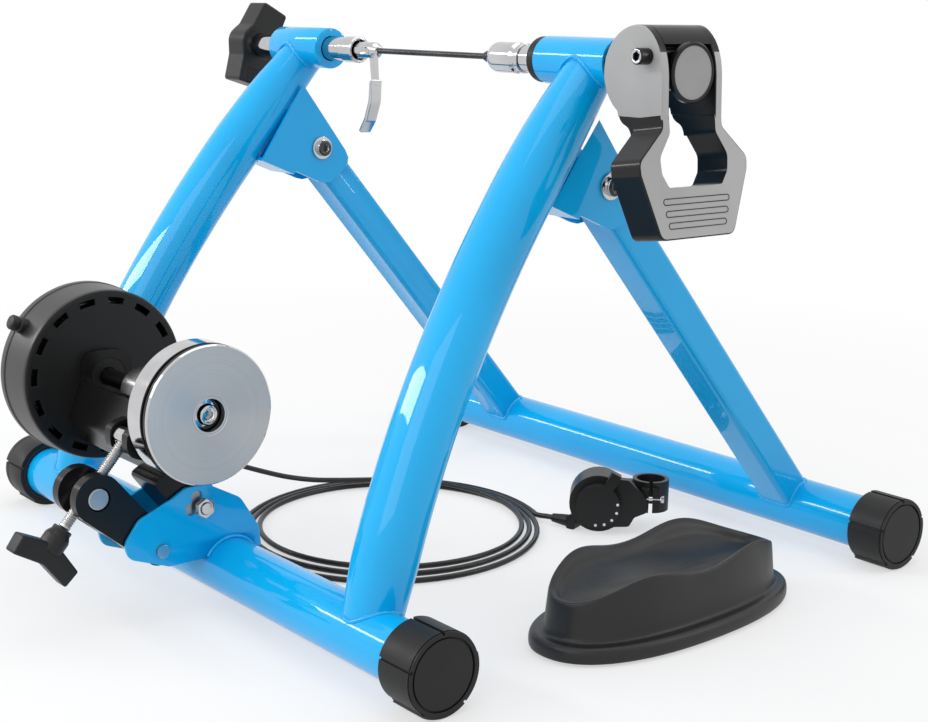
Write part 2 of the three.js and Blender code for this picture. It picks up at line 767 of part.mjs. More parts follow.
const frontProfile = [
  [drumHole, drumFace - drumWall],
  [drumHole, drumFace],
  [HOUSING_R - drumEdge, drumFace],
  [HOUSING_R, drumFace - drumEdge],
  [HOUSING_R + drumDraft, drumSeam + GAP],
  [HOUSING_R + drumDraft - drumWall, drumSeam + GAP],
  [HOUSING_R - drumWall, drumFace - drumWall],
  [drumHole, drumFace - drumWall],
];
const postTurn = 151;
const postR = 5;
const postAhead = 6.6;
const postRoot = 2;
const postLength = 13;
const postTip = 6;
const postTipR = 3.4;
function post() {
  const from = HOUSING_R - postRoot;
  const at = [drumSeam + postAhead, 0, 0];
  const stem = bar("y", postR, from, from + postLength, SMALL, at);
  const tip = bar("y", postTipR, from, from + postLength + postTip, BIT, at);
  return join(stem, tip).rotate([postTurn, 0, 0]).translate([0, shaftY, shaftZ]);
}
const housingFront = join(cut(turned("x", frontProfile, FINE, shaftAt), ...vents()), post());
piece("housing_front", housingFront, "black");
const magnetR = HOUSING_R - 13;
const magnetHole = 20;
const magnetThick = 5;
const magnetGap = 3;
const rotorGap = 2;
const rotorThick = 3;
const rotorR = HOUSING_R - 9;
const fixedFace = drumFace - drumWall - GAP;
const rotorTo = fixedFace - magnetThick - rotorGap;
const movingTo = rotorTo - rotorThick - magnetGap;
const bossGap = 1;
const bossFace = movingTo - bossGap;
const backWall = 5;
const backBevel = 3;
const backBevelLong = 4;
const backLip = 1.6;
const backInset = 1;
const backProfile = [
  [0, drumBack],
  [HOUSING_R - backBevel, drumBack],
  [HOUSING_R + backLip, drumBack + backBevelLong],
  [HOUSING_R + backLip, drumSeam],
  [HOUSING_R - backInset, drumSeam],
  [HOUSING_R - backInset, drumBack + backWall],
  [magnetHole - RUN, drumBack + backWall],
  [magnetHole - RUN, bossFace],
  [0, bossFace],
];
const hornR = 5;
const hornInset = 9;
const hornDrop = 34;
const hornAhead = 4.5;
const hornTurn = -58;
const hornTo = 12;
const hornAt = [drumBack + hornAhead, shaftY + HOUSING_R - hornInset, shaftZ - hornDrop];
const hornBar = bar("y", hornR, -hornR, hornTo, SMALL, [0, 0, 0]);
const hornBody = hornBar.rotate([hornTurn, 0, 0]).translate(hornAt);
piece("housing_back", join(turned("x", backProfile, FINE, shaftAt), hornBody), "black");
const fixedRing = sleeve("x", magnetR, magnetHole, fixedFace - magnetThick, fixedFace, ROUND, shaftAt);
piece("magnet_ring_fixed", fixedRing, "steel");
piece("rotor", sleeve("x", rotorR, onShaft, rotorTo - rotorThick, rotorTo, ROUND, shaftAt), "steel");
const movingRing = sleeve("x", magnetR, magnetHole, movingTo - magnetThick, movingTo, ROUND, shaftAt);
piece("magnet_ring_moving", movingRing, "steel");

// Left clamp: a two-wing knob on a screw through the bushing, with a cup for the skewer.
const cupR = 9.9;
const cupLong = 16;
const cupHole = 7.6;
const cupDepth = 9;
const leftCupFace = -88;
const leftCupBack = leftCupFace - cupLong;
const leftCupProfile = [
  [0, leftCupBack],
  [cupR - EDGE, leftCupBack],
  [cupR, leftCupBack + EDGE],
  [cupR, leftCupFace - EDGE],
  [cupR - EDGE, leftCupFace],
  [cupHole, leftCupFace],
  [cupHole - EDGE, leftCupFace - cupDepth],
  [0, leftCupFace - cupDepth],
];
piece("cup_left", turned("x", leftCupProfile, SMALL, axle), "chrome");
const wingStand = 36.6;
const wingThick = 24;
const wingHubR = 18;
const wingR = 34;
const wingTurns = [61, 253];
const wingSharpness = 6;
const wingSteps = 48;
const wingSeat = 10;
const wingFace = -BUSHING_OUTER - wingStand;
const leftShaftFrom = wingFace - wingSeat;
const leftShaft = bar("x", CLAMP_SHAFT_R, leftShaftFrom, leftCupBack - GAP, ROUND, axle);
piece("clamp_screw_left", leftShaft, "chrome");
function wingKnob() {
  const shape = new THREE.Shape();
  for (let i = 0; i < wingSteps; i += 1) {
    const turn = (i / wingSteps) * TAU;
    let rise = 0;
    for (const wing of wingTurns) rise += Math.max(Math.cos(turn - wing * DEG), 0) ** wingSharpness;
    const r = wingHubR + (wingR - wingHubR) * rise;
    if (i === 0) shape.moveTo(r * Math.cos(turn), r * Math.sin(turn));
    else shape.lineTo(r * Math.cos(turn), r * Math.sin(turn));
  }
  shape.closePath();
  const body = slab("x", shape, wingFace - wingThick, wingFace).translate(axle);
  return cut(body, bar("x", CLAMP_SHAFT_R + GAP, leftShaftFrom - GAP, wingFace + OVER, ROUND, axle));
}
piece("star_knob", wingKnob(), "black");

// Skewer of the wheel clamp: rod, cone nut, head and its quick-release lever.
const rodR = 2.1;
const headR = 6.2;
const headTaper = 4;
const headPast = 7;
const skewerPivotX = leftCupFace + 17;
const skewerPivot = [skewerPivotX, AXLE_HEIGHT];
const skewerPinAt = [skewerPivotX, 0, AXLE_HEIGHT];
const skewerPinR = 2.4;
const headFrom = leftCupFace - cupDepth + GAP;
const headTo = skewerPivotX + headPast;
const headProfile = [
  [0, headFrom],
  [headR - EDGE, headFrom],
  [headR, headFrom + EDGE],
  [headR, headTo - headTaper],
  [rodR + EDGE, headTo],
  [0, headTo],
];
const leverSlot = 3;
const leverHeelR = 4;
const headSlotShares = [
  [-1.61, -1.32],
  [1.45, -1.32],
  [1.45, 0],
  [0.74, 0.2],
  [0.74, 0.74],
  [-1.61, 0.74],
];
const headSlot = slab("y", rounded(corners(headSlotShares, headR, skewerPivot)), -leverSlot, leverSlot);
const headBore = bar("y", skewerPinR + GAP, -THROUGH, THROUGH, BIT, skewerPinAt);
piece("skewer_head", cut(turned("x", headProfile, SMALL, axle), headSlot, headBore), "chrome");
const rightCupFace = 69;
const rodPast = 5;
const coneLong = 8;
const coneTaper = 3;
const coneSmall = 0.9;
const coneLarge = 2;
const coneFrom = rightCupFace - coneLong;
const skewerRod = bar("x", rodR, headTo + GAP, rightCupFace + rodPast, BIT, axle);
const coneProfile = [
  [rodR - EDGE, coneFrom],
  [rodR + coneSmall, coneFrom],
  [rodR + coneLarge, coneFrom + coneTaper],
  [rodR + coneLarge, rightCupFace + coneTaper],
  [rodR - EDGE, rightCupFace + coneTaper],
  [rodR - EDGE, coneFrom],
];
piece("skewer_rod", join(skewerRod, turned("x", coneProfile, BIT, axle)), "steel");
const bladeLong = 62;
const bladeHalf = 5;
const stemShares = [
  [-0.05, 0.02],
  [0.05, 0.02],
  [0.056, -0.13],
  [0.074, -0.42, 0.02],
  [0.02, -0.42, 0.02],
  [-0.02, -0.13],
];
const bladeShares = [
  [0.022, -0.371, 0.02],
  [0.077, -0.339, 0.02],
  [0.061, -0.613, 0.13],
  [-0.035, -0.855, 0.1],
  [-0.155, -1, 0.02],
  [-0.19, -0.968, 0.02],
  [-0.081, -0.815, 0.1],
  [0.006, -0.597, 0.13],
];
const stemHalf = leverSlot - RUN;
const leverBody = join(
  slab("y", rounded(corners(stemShares, bladeLong, skewerPivot)), -stemHalf, stemHalf),
  bar("y", leverHeelR, -stemHalf, stemHalf, SMALL, skewerPinAt),
  slab("y", rounded(corners(bladeShares, bladeLong, skewerPivot)), -bladeHalf, bladeHalf),
  bar("y", skewerPinR, HALF - headR, headR - HALF, BIT, skewerPinAt),
);
piece("skewer_lever", leverBody, "chrome");

// Right clamp: a sliding shaft with a nosed cup, driven by the cam lever.
const noseR = 6.6;
const noseLong = 7;
const cupBodyR = 10.4;
const cupBodyLong = 20;
const cupGrooveR = 8.6;
const cupGrooveLong = 3;
const collarR = 10;
const collarLong = 3.5;
const rodSocketR = 4.7;
const rodSocketDeep = 15;
const cupShoulder = rightCupFace + noseLong;
const cupBodyEnd = cupShoulder + cupBodyLong;
const collarFrom = cupBodyEnd + EDGE + cupGrooveLong;
const collarTo = collarFrom + HALF + collarLong;
const rightCupProfile = [
  [rodSocketR, rightCupFace],
  [noseR - EDGE, rightCupFace],
  [cupBodyR, cupShoulder],
  [cupBodyR, cupBodyEnd],
  [cupBodyR - EDGE, cupBodyEnd + EDGE],
  [cupGrooveR, collarFrom],
  [collarR, collarFrom + HALF],
  [collarR, collarTo],
  [0, collarTo],
  [0, rightCupFace + rodSocketDeep],
  [rodSocketR, rightCupFace + rodSocketDeep],
  [rodSocketR, rightCupFace],
];
piece("cup_right", turned("x", rightCupProfile, SMALL, axle), "chrome");
const shaftInside = 10.6;
const rightShaftTo = BUSHING_OUTER + shaftInside;
const rightShaft = bar("x", CLAMP_SHAFT_R, collarTo + RUN, rightShaftTo, ROUND, axle);
piece("clamp_shaft_right", rightShaft, "chrome");
const sealLong = 7.1;
const sealTo = BUSHING_INNER - GAP;
const sealBore = CLAMP_SHAFT_R + GAP;
const sealRing = sleeve("x", BUSHING_R - HALF, sealBore, sealTo - sealLong, sealTo, ROUND, axle);
piece("seal_ring", sealRing, "black");

// End housing: the fixed black casting outside the right bushing, with the grey end disc.
const sleeveR = 14;
const sleeveLong = 22.1;
const sleeveTo = BUSHING_OUTER + sleeveLong;
const boreStop = 2;
const neckR = 11.5;
const neckRoot = 4;
const discR = 18.5;
const discDrop = 3.5;
const discOut = 59;
const discThick = 4.6;
const discFrom = BUSHING_OUTER + discOut;
const discAt = [0, 0, AXLE_HEIGHT - discDrop];
const camPinOut = 50;
const camPinRise = 6;
const camPinR = 3.8;
const camAt = [BUSHING_OUTER + camPinOut, 0, AXLE_HEIGHT + camPinRise];
const bossR = 6.4;
const bossHalf = 19.4;
const endHousing = cut(
  join(
    bar("x", sleeveR, BUSHING_OUTER + GAP, sleeveTo, ROUND, axle),
    bar("x", neckR, sleeveTo - neckRoot, discFrom + OVER, ROUND, discAt),
    bar("x", discR, discFrom, discFrom + discThick, FINE, discAt),
    bar("y", bossR, -bossHalf, bossHalf, SMALL, camAt),
  ),
  bar("x", bushingBore, 0, sleeveTo - boreStop, ROUND, axle),
  bar("y", camPinR + GAP, -THROUGH, THROUGH, SMALL, camAt),
);
piece("end_housing", endHousing, "black");

// Cam lever: two round cheeks under a hood, and a six-sided loop handle with a finger window.
const cheekFrom = 20;
const cheekTo = 26.2;
const cheekR = 28.4;
const cheekOut = 41.4;
const cheekDrop = 4;
const cheekX = BUSHING_OUTER + cheekOut;
const cheekZ = AXLE_HEIGHT - cheekDrop;
const cheekStart = 88 * DEG;
const cheekEnd = 236 * DEG;
const hoodEnd = 96 * DEG;
const cheekShares = [
  [-0.521, -0.951],
  [0.796, -0.951],
  [0.768, -0.211],
  [0.761, 0.563, 0.342, 0.88],
  [0.2, 0.993, 0.035, 1],
];
const hoodShares = [
  [0.2, 0.993, 0.342, 0.88],
  [0.486, 0.768, 0.577, 0.613],
  [0.493, 0.549],
  [0.38, 0.718, 0.239, 0.796],
  [0.134, 0.873, 0, 0.894],
  [-0.095, 0.894],
];
const cheekShape = new THREE.Shape().absarc(cheekX, cheekZ, cheekR, cheekStart, cheekEnd, false);
carriedOn(cheekShape, cheekShares, cheekR, [cheekX, cheekZ]);
const hoodShape = new THREE.Shape().absarc(cheekX, cheekZ, cheekR, hoodEnd, cheekStart, true);
carriedOn(hoodShape, hoodShares, cheekR, [cheekX, cheekZ]);
const gripHalf = 47.5;
const gripDepth = 25;
const gripTilt = -8;
const gripOut = 22.6;
const gripLineDrop = 27;
const gripRise = 3;
const gripFace = cheekX + gripOut;
const gripLine = cheekZ - gripLineDrop;
const gripShares = [
  [-1, -0.505, 0.19],
  [-0.985, -0.674, 0.126],
  [-0.674, -1.505, 0.147],
];
const windowShares = [
  [-0.623, -0.463, 0.168],
  [-0.602, -0.674, 0.126],
  [-0.484, -0.851, 0.084],
];
const gripShoulder = 5;
const gripShoulderRound = 6;
const windowShoulder = 8;
const gripOuter = rounded(bothHalves([
  [-cheekTo, gripRise, 0],
  [-cheekTo, -gripShoulder, gripShoulderRound],
  ...corners(gripShares, gripHalf, [0, 0]),
]));
const gripWindow = rounded(bothHalves([
  [-cheekFrom, gripRise + OVER, 0],
  [-cheekFrom, -windowShoulder, gripShoulderRound],
  ...corners(windowShares, gripHalf, [0, 0]),
]));
const gripBlock = cut(
  slab("x", gripOuter, -gripDepth, 0),
  slab("x", gripWindow, -gripDepth - OVER, OVER),
);
const grip = gripBlock.rotate([0, gripTilt, 0]).translate([gripFace, 0, gripLine]);
const camLever = cut(
  join(
    slab("y", cheekShape, -cheekTo, -cheekFrom, 9),
    slab("y", cheekShape, cheekFrom, cheekTo, 9),
    slab("y", hoodShape, -cheekTo, cheekTo),
    grip,
  ),
  bar("y", camPinR + RUN, -THROUGH, THROUGH, SMALL, camAt),
);
piece("cam_lever", camLever, "black");
const camSide = cheekTo + GAP;
const camHeadR = 5;
const camHead = 9.5;
const camTail = 4;
const camNutR = 6;
const camNutLong = 3.6;
const camPinProfile = [
  [0, -camSide - camHead],
  [camHeadR, -camSide - camHead],
  [camHeadR, -camSide],
  [camPinR, -camSide],
  [camPinR, camSide + camTail],
  [0, camSide + camTail],
];
piece("cam_pin", turned("y", camPinProfile, SMALL, camAt), "black");
piece("cam_nut", nut("y", camNutR, camPinR + GAP, camSide, camSide + camNutLong, camAt), "chrome");

// Remote cable: up out of the housing, down to the floor, round in loops and off to the shifter.
const cableSides = 6;
const loopSteps = 24;
const coilTurns = 3 + 80 / 360;
const coilStart = 105 * DEG;
const coilLong = [98, 118];
const coilWide = [97, 131];
const coilFrom = [-33.6, -5.7];
const coilTo = [-22.9, -16.2];
const coilAxis = 45.6 * DEG;
const cableZ = CABLE_R + GAP;
const coilTop = 8.2;
const landSteps = 9;
const straightOut = 5;
const horn = new THREE.Vector3(0, Math.cos(hornTurn * DEG), Math.sin(hornTurn * DEG));
const hornTip = new THREE.Vector3(...hornAt).addScaledVector(horn, hornTo + GAP);
const cableRoute = [];
const rise = new THREE.CatmullRomCurve3([
  hornTip.clone().addScaledVector(horn, straightOut),
  new THREE.Vector3(-115, -150, 77),
  new THREE.Vector3(-124, -117, 56),
  new THREE.Vector3(-132.5, -86, 39.5),
  new THREE.Vector3(-137, -58, 27.5),
  new THREE.Vector3(-139, -34, 18.6),
  new THREE.Vector3(-137.5, -10, 12.4),
  new THREE.Vector3(-131.5, 15, 9.2),
], false, "centripetal");
const riseSteps = 16;
cableRoute.push(hornTip);
for (let i = 0; i <= riseSteps; i += 1) cableRoute.push(rise.getPoint(i / riseSteps));
const coilSteps = Math.round(coilTurns * loopSteps);
for (let i = 0; i <= coilSteps; i += 1) {
  const share = i / coilSteps;
  const turn = coilStart - share * coilTurns * TAU;
  const a = THREE.MathUtils.lerp(...coilLong, share) * Math.cos(turn);
  const b = THREE.MathUtils.lerp(...coilWide, share) * Math.sin(turn);
  const x = THREE.MathUtils.lerp(coilFrom[0], coilTo[0], share);
  const y = THREE.MathUtils.lerp(coilFrom[1], coilTo[1], share);
  const ease = Math.min(i / landSteps, 1);
  const z = THREE.MathUtils.lerp(coilTop, cableZ, ease * ease * (3 - 2 * ease));
  const [c, s] = [Math.cos(coilAxis), Math.sin(coilAxis)];
  cableRoute.push(new THREE.Vector3(x + a * c - b * s, y + a * s + b * c, z));
}
const glandTip = new THREE.Vector3(38.6, 95.9, 5.5);
const glandAim = 18.6;
const lead = new THREE.Vector3(Math.cos(glandAim * DEG), Math.sin(glandAim * DEG), 0);
cableRoute.push(new THREE.Vector3(19.6, 95.1, 3.1));
cableRoute.push(new THREE.Vector3(26.6, 93.7, 4.3));
cableRoute.push(new THREE.Vector3(33, 94.2, 5.3));
cableRoute.push(glandTip.clone().addScaledVector(lead, -GAP));

// A round tube of straight stretches through every point of a route, closed at both ends.
function tube(points, r, sides) {
  const last = points.length - 1;
  const ways = points.map((p, i) => {
    const next = points[Math.min(i + 1, last)];
    return next.clone().sub(points[Math.max(i - 1, 0)]).normalize();
  });
  const place = [];
  let side = new THREE.Vector3(0, 0, 1).cross(ways[0]).normalize();
  points.forEach((p, i) => {
    side = side.addScaledVector(ways[i], -side.dot(ways[i])).normalize();
    const up = new THREE.Vector3().crossVectors(ways[i], side);
    for (let k = 0; k < sides; k += 1) {
      const turn = (k / sides) * TAU;
      const q = p.clone().addScaledVector(side, r * Math.cos(turn));
      q.addScaledVector(up, r * Math.sin(turn));
      place.push(q.x, q.y, q.z);
    }
  });
  place.push(...points[0].toArray(), ...points[last].toArray());
  const [first, end] = [points.length * sides, points.length * sides + 1];
  const index = [];
  for (let k = 0; k < sides; k += 1) {
    const m = (k + 1) % sides;
    for (let i = 0; i < last; i += 1) {
      const [a, b] = [i * sides + k, i * sides + m];
      index.push(a, b, b + sides, a, b + sides, a + sides);
    }
    index.push(first, m, k, end, last * sides + k, last * sides + m);
  }
  const geometry = new THREE.BufferGeometry();
  geometry.setAttribute("position", new THREE.Float32BufferAttribute(place, 3));
  geometry.setIndex(index);
  return solid(geometry);
}

// The least gap of the cable to itself, measured between its stretches and printed.
function leastGap(points, r) {
  let least = Infinity;
  const apart = loopSteps / 2;
  const spots = [];
  points.forEach((p, i) => {
    spots.push({ at: p, i });
    if (i + 1 < points.length) {
      for (const share of [0.25, 0.5, 0.75]) spots.push({ at: p.clone().lerp(points[i + 1], share), i });
    }
  });
  for (const p of spots) {
    for (const q of spots) {
      if (q.i - p.i < apart) continue;
      least = Math.min(least, p.at.distanceTo(q.at) - 2 * r);
    }
  }
  return least;
}
console.log("least gap of the cable to itself, mm:", leastGap(cableRoute, CABLE_R).toFixed(2));
piece("remote_cable", tube(cableRoute, CABLE_R, cableSides), "black");

// Shifter: made along its own x (across), y (back) and z (up), then turned and laid on the floor.
const shifterAt = [64.2, 119.9, 0];
const shifterTurn = 45.6;
const laid = (made) => made.rotate([0, 0, shifterTurn]).translate(shifterAt);
const drumR = 22.4;
const drumDepth = 13;
const drumZ = drumR + GAP;
const drumAt = [0, 0, drumZ];
const dialR = 17;
const dialDepth = 8;
const dialArm = 29;
const dialArmHalf = 4;
const dialLean = 62 * DEG;
const dialPinR = 4;
const dialPinLong = 6;
const clampX = 40.3;
const clampY = 13;
const clampBore = 11.1;
const clampR = 14.3;
const clampLow = 13;
const clampHigh = 37.5;
const clampAt = [clampX, clampY, 0];
const glandLength = 14;
const glandTipR = 3.4;
const glandR = 5;
const toGland = (made) => made.rotate([0, 0, glandAim]).translate(glandTip.toArray());
const glandProfile = [
  [0, 0],
  [glandTipR, 0],
  [glandR, glandLength],
  [0, glandLength],
];
piece("shifter_gland", toGland(turned("x", glandProfile, BIT, [0, 0, 0])), "rubber");
const blockBack = 6;
const blockShares = [
  [0.357, 0.179, 0.089],
  [1.071, 0.223, 0.134],
  [1.25, 0.558, 0.089],
  [1.696, 0.759, 0.134],
  [1.652, 1.205, 0.134],
  [1.027, 1.875, 0.134],
  [0.357, 1.92, 0.179],
];
const neckFrom = 12;
const neckTo = 30;
const neckNear = 5;
const neckFar = 20;
const neckInset = 3;
const clampNeck = slab("z", oblong(neckFrom, neckNear, neckTo, neckFar, EDGE), clampLow + neckInset, clampHigh - neckInset);
const shifterHead = laid(cut(
  join(
    bar("y", drumR, -drumDepth, drumDepth, FINE, drumAt),
    slab("y", rounded(corners(blockShares, drumR, [0, 0])), -drumDepth, -blockBack),
    clampNeck,
  ),
  bar("z", clampR + GAP, 0, THROUGH, ROUND, clampAt),
  bar("y", dialPinR + GAP, -drumDepth - OVER, dialPinLong - drumDepth, SMALL, drumAt),
));
const armRootTo = 22;
const armRootTop = 8;
const armRootHalf = 4.8;
const armRootEdge = 2;
const armRoot = toGland(slab("y", rounded([
  [glandLength + GAP, glandR + HALF / 2, armRootEdge],
  [glandLength + GAP, -glandR, armRootEdge],
  [armRootTo, -glandR, armRootEdge],
  [armRootTo, armRootTop, armRootEdge],
]), -armRootHalf, armRootHalf));
piece("shifter_body", join(shifterHead, armRoot), "black");
function shifterDial() {
  const shape = new THREE.Shape();
  const spread = Math.asin(dialArmHalf / dialR);
  shape.absarc(0, 0, dialR, dialLean + spread, dialLean - spread + TAU, false);
  const tip = [dialArm * Math.cos(dialLean), dialArm * Math.sin(dialLean)];
  const across = [dialArmHalf * Math.sin(dialLean), -dialArmHalf * Math.cos(dialLean)];
  shape.lineTo(tip[0] + across[0], tip[1] + across[1]);
  shape.lineTo(tip[0] - across[0], tip[1] - across[1]);
  shape.closePath();
  const back = -drumDepth - GAP;
  const disc = slab("y", shape, back - dialDepth, back, 12);
  const pin = bar("y", dialPinR, back - OVER, dialPinLong - drumDepth - EDGE, SMALL, [0, 0, 0]);
  return laid(join(disc, pin).translate(drumAt));
}
piece("shifter_dial", shifterDial(), "black");
const lugHalf = 7.3;
const lugOut = 3.6;
const lugRoot = 3;
const lugInset = 4;
const splitHalf = 1.5;
const clampScrewR = 1.6;
const clampScrewOut = 1.8;
const clampEdgeY = clampY - clampR;
const screwAt = [0, clampEdgeY - clampScrewOut, (clampLow + clampHigh) / 2];
const clampBody = cut(
  join(
    bar("z", clampR, clampLow, clampHigh, ROUND, clampAt),
    slab("z", rounded([
      [clampX - lugHalf, clampEdgeY - lugOut, EDGE],
      [clampX + lugHalf, clampEdgeY - lugOut, EDGE],
      [clampX + lugHalf, clampEdgeY + lugRoot],
      [clampX - lugHalf, clampEdgeY + lugRoot],
    ]), clampLow + lugInset, clampHigh - lugInset),
  ),
  bar("z", clampBore, 0, THROUGH, ROUND, clampAt),
  slab("z", oblong(clampX - splitHalf, -THROUGH, clampX + splitHalf, clampY), 0, THROUGH),
  bar("x", clampScrewR + GAP, 0, THROUGH, BIT, screwAt),
);
piece("shifter_clamp", laid(clampBody), "black");
const screwTailLong = 9;
const screwHeadR = 3;
const screwHead = 2.6;
const screwSeat = clampX + lugHalf + GAP;
const clampScrew = turned("x", [
  [0, clampX - screwTailLong],
  [clampScrewR, clampX - screwTailLong],
  [clampScrewR, screwSeat],
  [screwHeadR, screwSeat],
  [screwHeadR, screwSeat + screwHead],
  [0, screwSeat + screwHead],
], BIT, screwAt);
piece("shifter_screw", laid(clampScrew), "chrome");

// Front wheel riser: an oval plinth and a tapered body whose top is dished for the tyre.
const riserAt = [231.6, 19.8, 0];
const riserTurn = 3.5;
const riserLong = 113;
const riserWide = 50;
const riserPower = 2.3;
const riserSteps = 36;
const plinthTop = 12;
const plinthShares = [
  [0.167, 0],
  [0, 0.167],
  [0, 0.75],
  [0.167, 0.95],
  [0.333, 1],
  [0.708, 1],
  [0.833, 1.167],
];
const wallInset = 13;
const riserLow = 36;
const riserSide = 7.5;
const riserCorner = 15;
const crestShare = 0.78;
const waveShare = 1.062;
const rimWidth = 5;
const rimFall = 2;
const dish = 5;
const basinShares = [0.52, 0.66, 0.8];
function riserBlock() {
  const outline = (inset, turn) => {
    const [c, s] = [Math.cos(turn), Math.sin(turn)];
    const x = (riserWide - inset) * Math.sign(c) * Math.abs(c) ** (2 / riserPower);
    const y = (riserLong - inset) * Math.sign(s) * Math.abs(s) ** (2 / riserPower);
    return [x, y];
  };
  const top = (x, y) => {
    const across = (x / (riserWide * crestShare)) ** 2;
    const along = Math.sin((Math.PI * y) / (riserLong * waveShare)) ** 2;
    return riserLow + across * (riserSide + riserCorner * along);
  };
  const basin = (x, y) => top(x, y) - dish;
  const rings = [
    ...plinthShares.map(([inset, height]) => [inset * plinthTop, () => height * plinthTop]),
    [wallInset - EDGE, (x, y) => top(x, y) - 2 * EDGE],
    [wallInset, top],
    [wallInset + rimWidth, top],
    [wallInset + rimWidth + rimFall, basin],
    ...basinShares.map((share) => [share * riserWide, basin]),
  ];
  const place = [];
  const index = [];
  for (const [inset, height] of rings) {
    for (let k = 0; k < riserSteps; k += 1) {
      const [x, y] = outline(inset, ((k + HALF) / riserSteps) * TAU);
      place.push(x, y, height(x, y));
    }
  }
  place.push(0, 0, 0, 0, 0, basin(0, 0));
  const bottom = rings.length * riserSteps;
  for (let k = 0; k < riserSteps; k += 1) {
    const m = (k + 1) % riserSteps;
    for (let i = 0; i + 1 < rings.length; i += 1) {
      const [a, b] = [i * riserSteps + k, i * riserSteps + m];
      index.push(a, b, b + riserSteps, a, b + riserSteps, a + riserSteps);
    }
    const last = (rings.length - 1) * riserSteps;
    index.push(bottom, m, k, bottom + 1, last + k, last + m);
  }
  const geometry = new THREE.BufferGeometry();
  geometry.setAttribute("position", new THREE.Float32BufferAttribute(place, 3));
  geometry.setIndex(index);
  return solid(geometry).rotate([0, 0, riserTurn]).translate(riserAt);
}
piece("riser_block", riserBlock(), "black");

// The origin sits on the floor under the middle of the object, the loose remote left aside.
const remote = ["remote_cable", "shifter_gland", "shifter_body", "shifter_dial", "shifter_clamp", "shifter_screw"];
const box = new THREE.Box3();
for (const mesh of group.children) if (!remote.includes(mesh.name)) box.expandByObject(mesh);
const middle = box.getCenter(new THREE.Vector3());
const shift = new THREE.Vector3(-middle.x, -middle.y, -box.min.z);
for (const mesh of group.children) mesh.position.copy(shift);
console.log("shift to the origin, mm:", shift.toArray().map((v) => v.toFixed(4)).join(" "));
export default group;
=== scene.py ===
# Rear wheel turbo trainer: paint, chrome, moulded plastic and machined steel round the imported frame.
import json
import math

import bpy
from mathutils import Matrix, Vector


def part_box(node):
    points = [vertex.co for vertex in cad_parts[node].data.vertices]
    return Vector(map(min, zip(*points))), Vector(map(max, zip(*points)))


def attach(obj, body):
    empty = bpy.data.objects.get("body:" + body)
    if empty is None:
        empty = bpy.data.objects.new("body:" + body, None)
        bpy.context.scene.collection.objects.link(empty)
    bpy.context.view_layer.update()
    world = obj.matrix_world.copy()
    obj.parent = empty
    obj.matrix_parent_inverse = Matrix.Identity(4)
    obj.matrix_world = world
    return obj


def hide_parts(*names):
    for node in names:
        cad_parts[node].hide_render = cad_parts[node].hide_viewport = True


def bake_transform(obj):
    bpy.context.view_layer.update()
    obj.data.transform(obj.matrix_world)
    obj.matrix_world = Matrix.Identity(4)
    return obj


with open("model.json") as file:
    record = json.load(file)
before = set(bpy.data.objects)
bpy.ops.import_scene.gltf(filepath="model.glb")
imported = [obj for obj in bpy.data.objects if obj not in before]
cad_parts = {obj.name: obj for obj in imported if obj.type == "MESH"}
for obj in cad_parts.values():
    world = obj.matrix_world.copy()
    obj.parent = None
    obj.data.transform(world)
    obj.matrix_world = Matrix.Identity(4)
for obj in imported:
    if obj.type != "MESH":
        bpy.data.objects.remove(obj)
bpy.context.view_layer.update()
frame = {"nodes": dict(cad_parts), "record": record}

MM = 0.001
TAU = 2 * math.pi
RIDES = {node: body for body, nodes in frame["record"]["behaviour"]["bodies"].items() for node in nodes}


def middle(node):
    """The middle of a CAD node's box."""
    low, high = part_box(node)
    return (low + high) / 2


# The stand's own zero: under the axle, halfway between its two bushings.
STAND_X = (middle("bushing_right").x + middle("bushing_left").x) / 2
STAND_Y = middle("bushing_right").y


def put(x, y, z):
    """A place given in the stand's own millimetres, in the frame's metres."""
    return Vector((STAND_X + x * MM, STAND_Y + y * MM, z * MM))


# Camera: the photograph's viewpoint.
EYE = put(936.8, -732.1, 394.2)
LOOK_AZIMUTH = math.radians(50.69)
LOOK_DOWN = math.radians(12.24)
LOOK_ROLL = math.radians(0.935)
LENS_MM = 63.08
SENSOR_MM = 36


def add_camera():
    """The camera stands at the eye, turned by its azimuth, its tilt down and its roll."""
    bpy.ops.object.camera_add(location=EYE)
    camera = bpy.context.object
    camera.data.lens = LENS_MM
    camera.data.sensor_width = SENSOR_MM
    camera.data.sensor_fit = "HORIZONTAL"
    camera.data.clip_end = 50
    turn = Matrix.Rotation(LOOK_AZIMUTH, 4, "Z")
    tilt = Matrix.Rotation(math.pi / 2 - LOOK_DOWN, 4, "X")
    roll = Matrix.Rotation(LOOK_ROLL, 4, "Z")
    camera.rotation_euler = (turn @ tilt @ roll).to_euler()
    bpy.context.scene.camera = camera


add_camera()


# Materials. The noises are in lumps per metre, and the bumps' depths in metres.
PAINT_TONE = 9
PAINT_SHEEN = 60
ORANGE_PEEL = 420
PEEL_DEPTH = 0.04 * MM
PLASTIC_TONE = 14
PLASTIC_SHEEN = 90
GRAIN_DEPTH = 0.12 * MM
PLATING_TONE = 30
PLATING_SHEEN = 140
PLATING_HAZE = 600
HAZE_DEPTH = 0.02 * MM
LATHE_SHEEN = 50
RING_DEPTH = 0.03 * MM


def grey(share):
    """A neutral colour."""
    return share, share, share


def shader(name):
    """A new material with its Principled shader and its Object coordinates."""
    material = bpy.data.materials.new(name)
    material.use_nodes = True
    nodes = material.node_tree.nodes
    principled = nodes["Principled BSDF"]
    coordinates = nodes.new("ShaderNodeTexCoord")
    return material, nodes, material.node_tree.links, principled, coordinates.outputs["Object"]


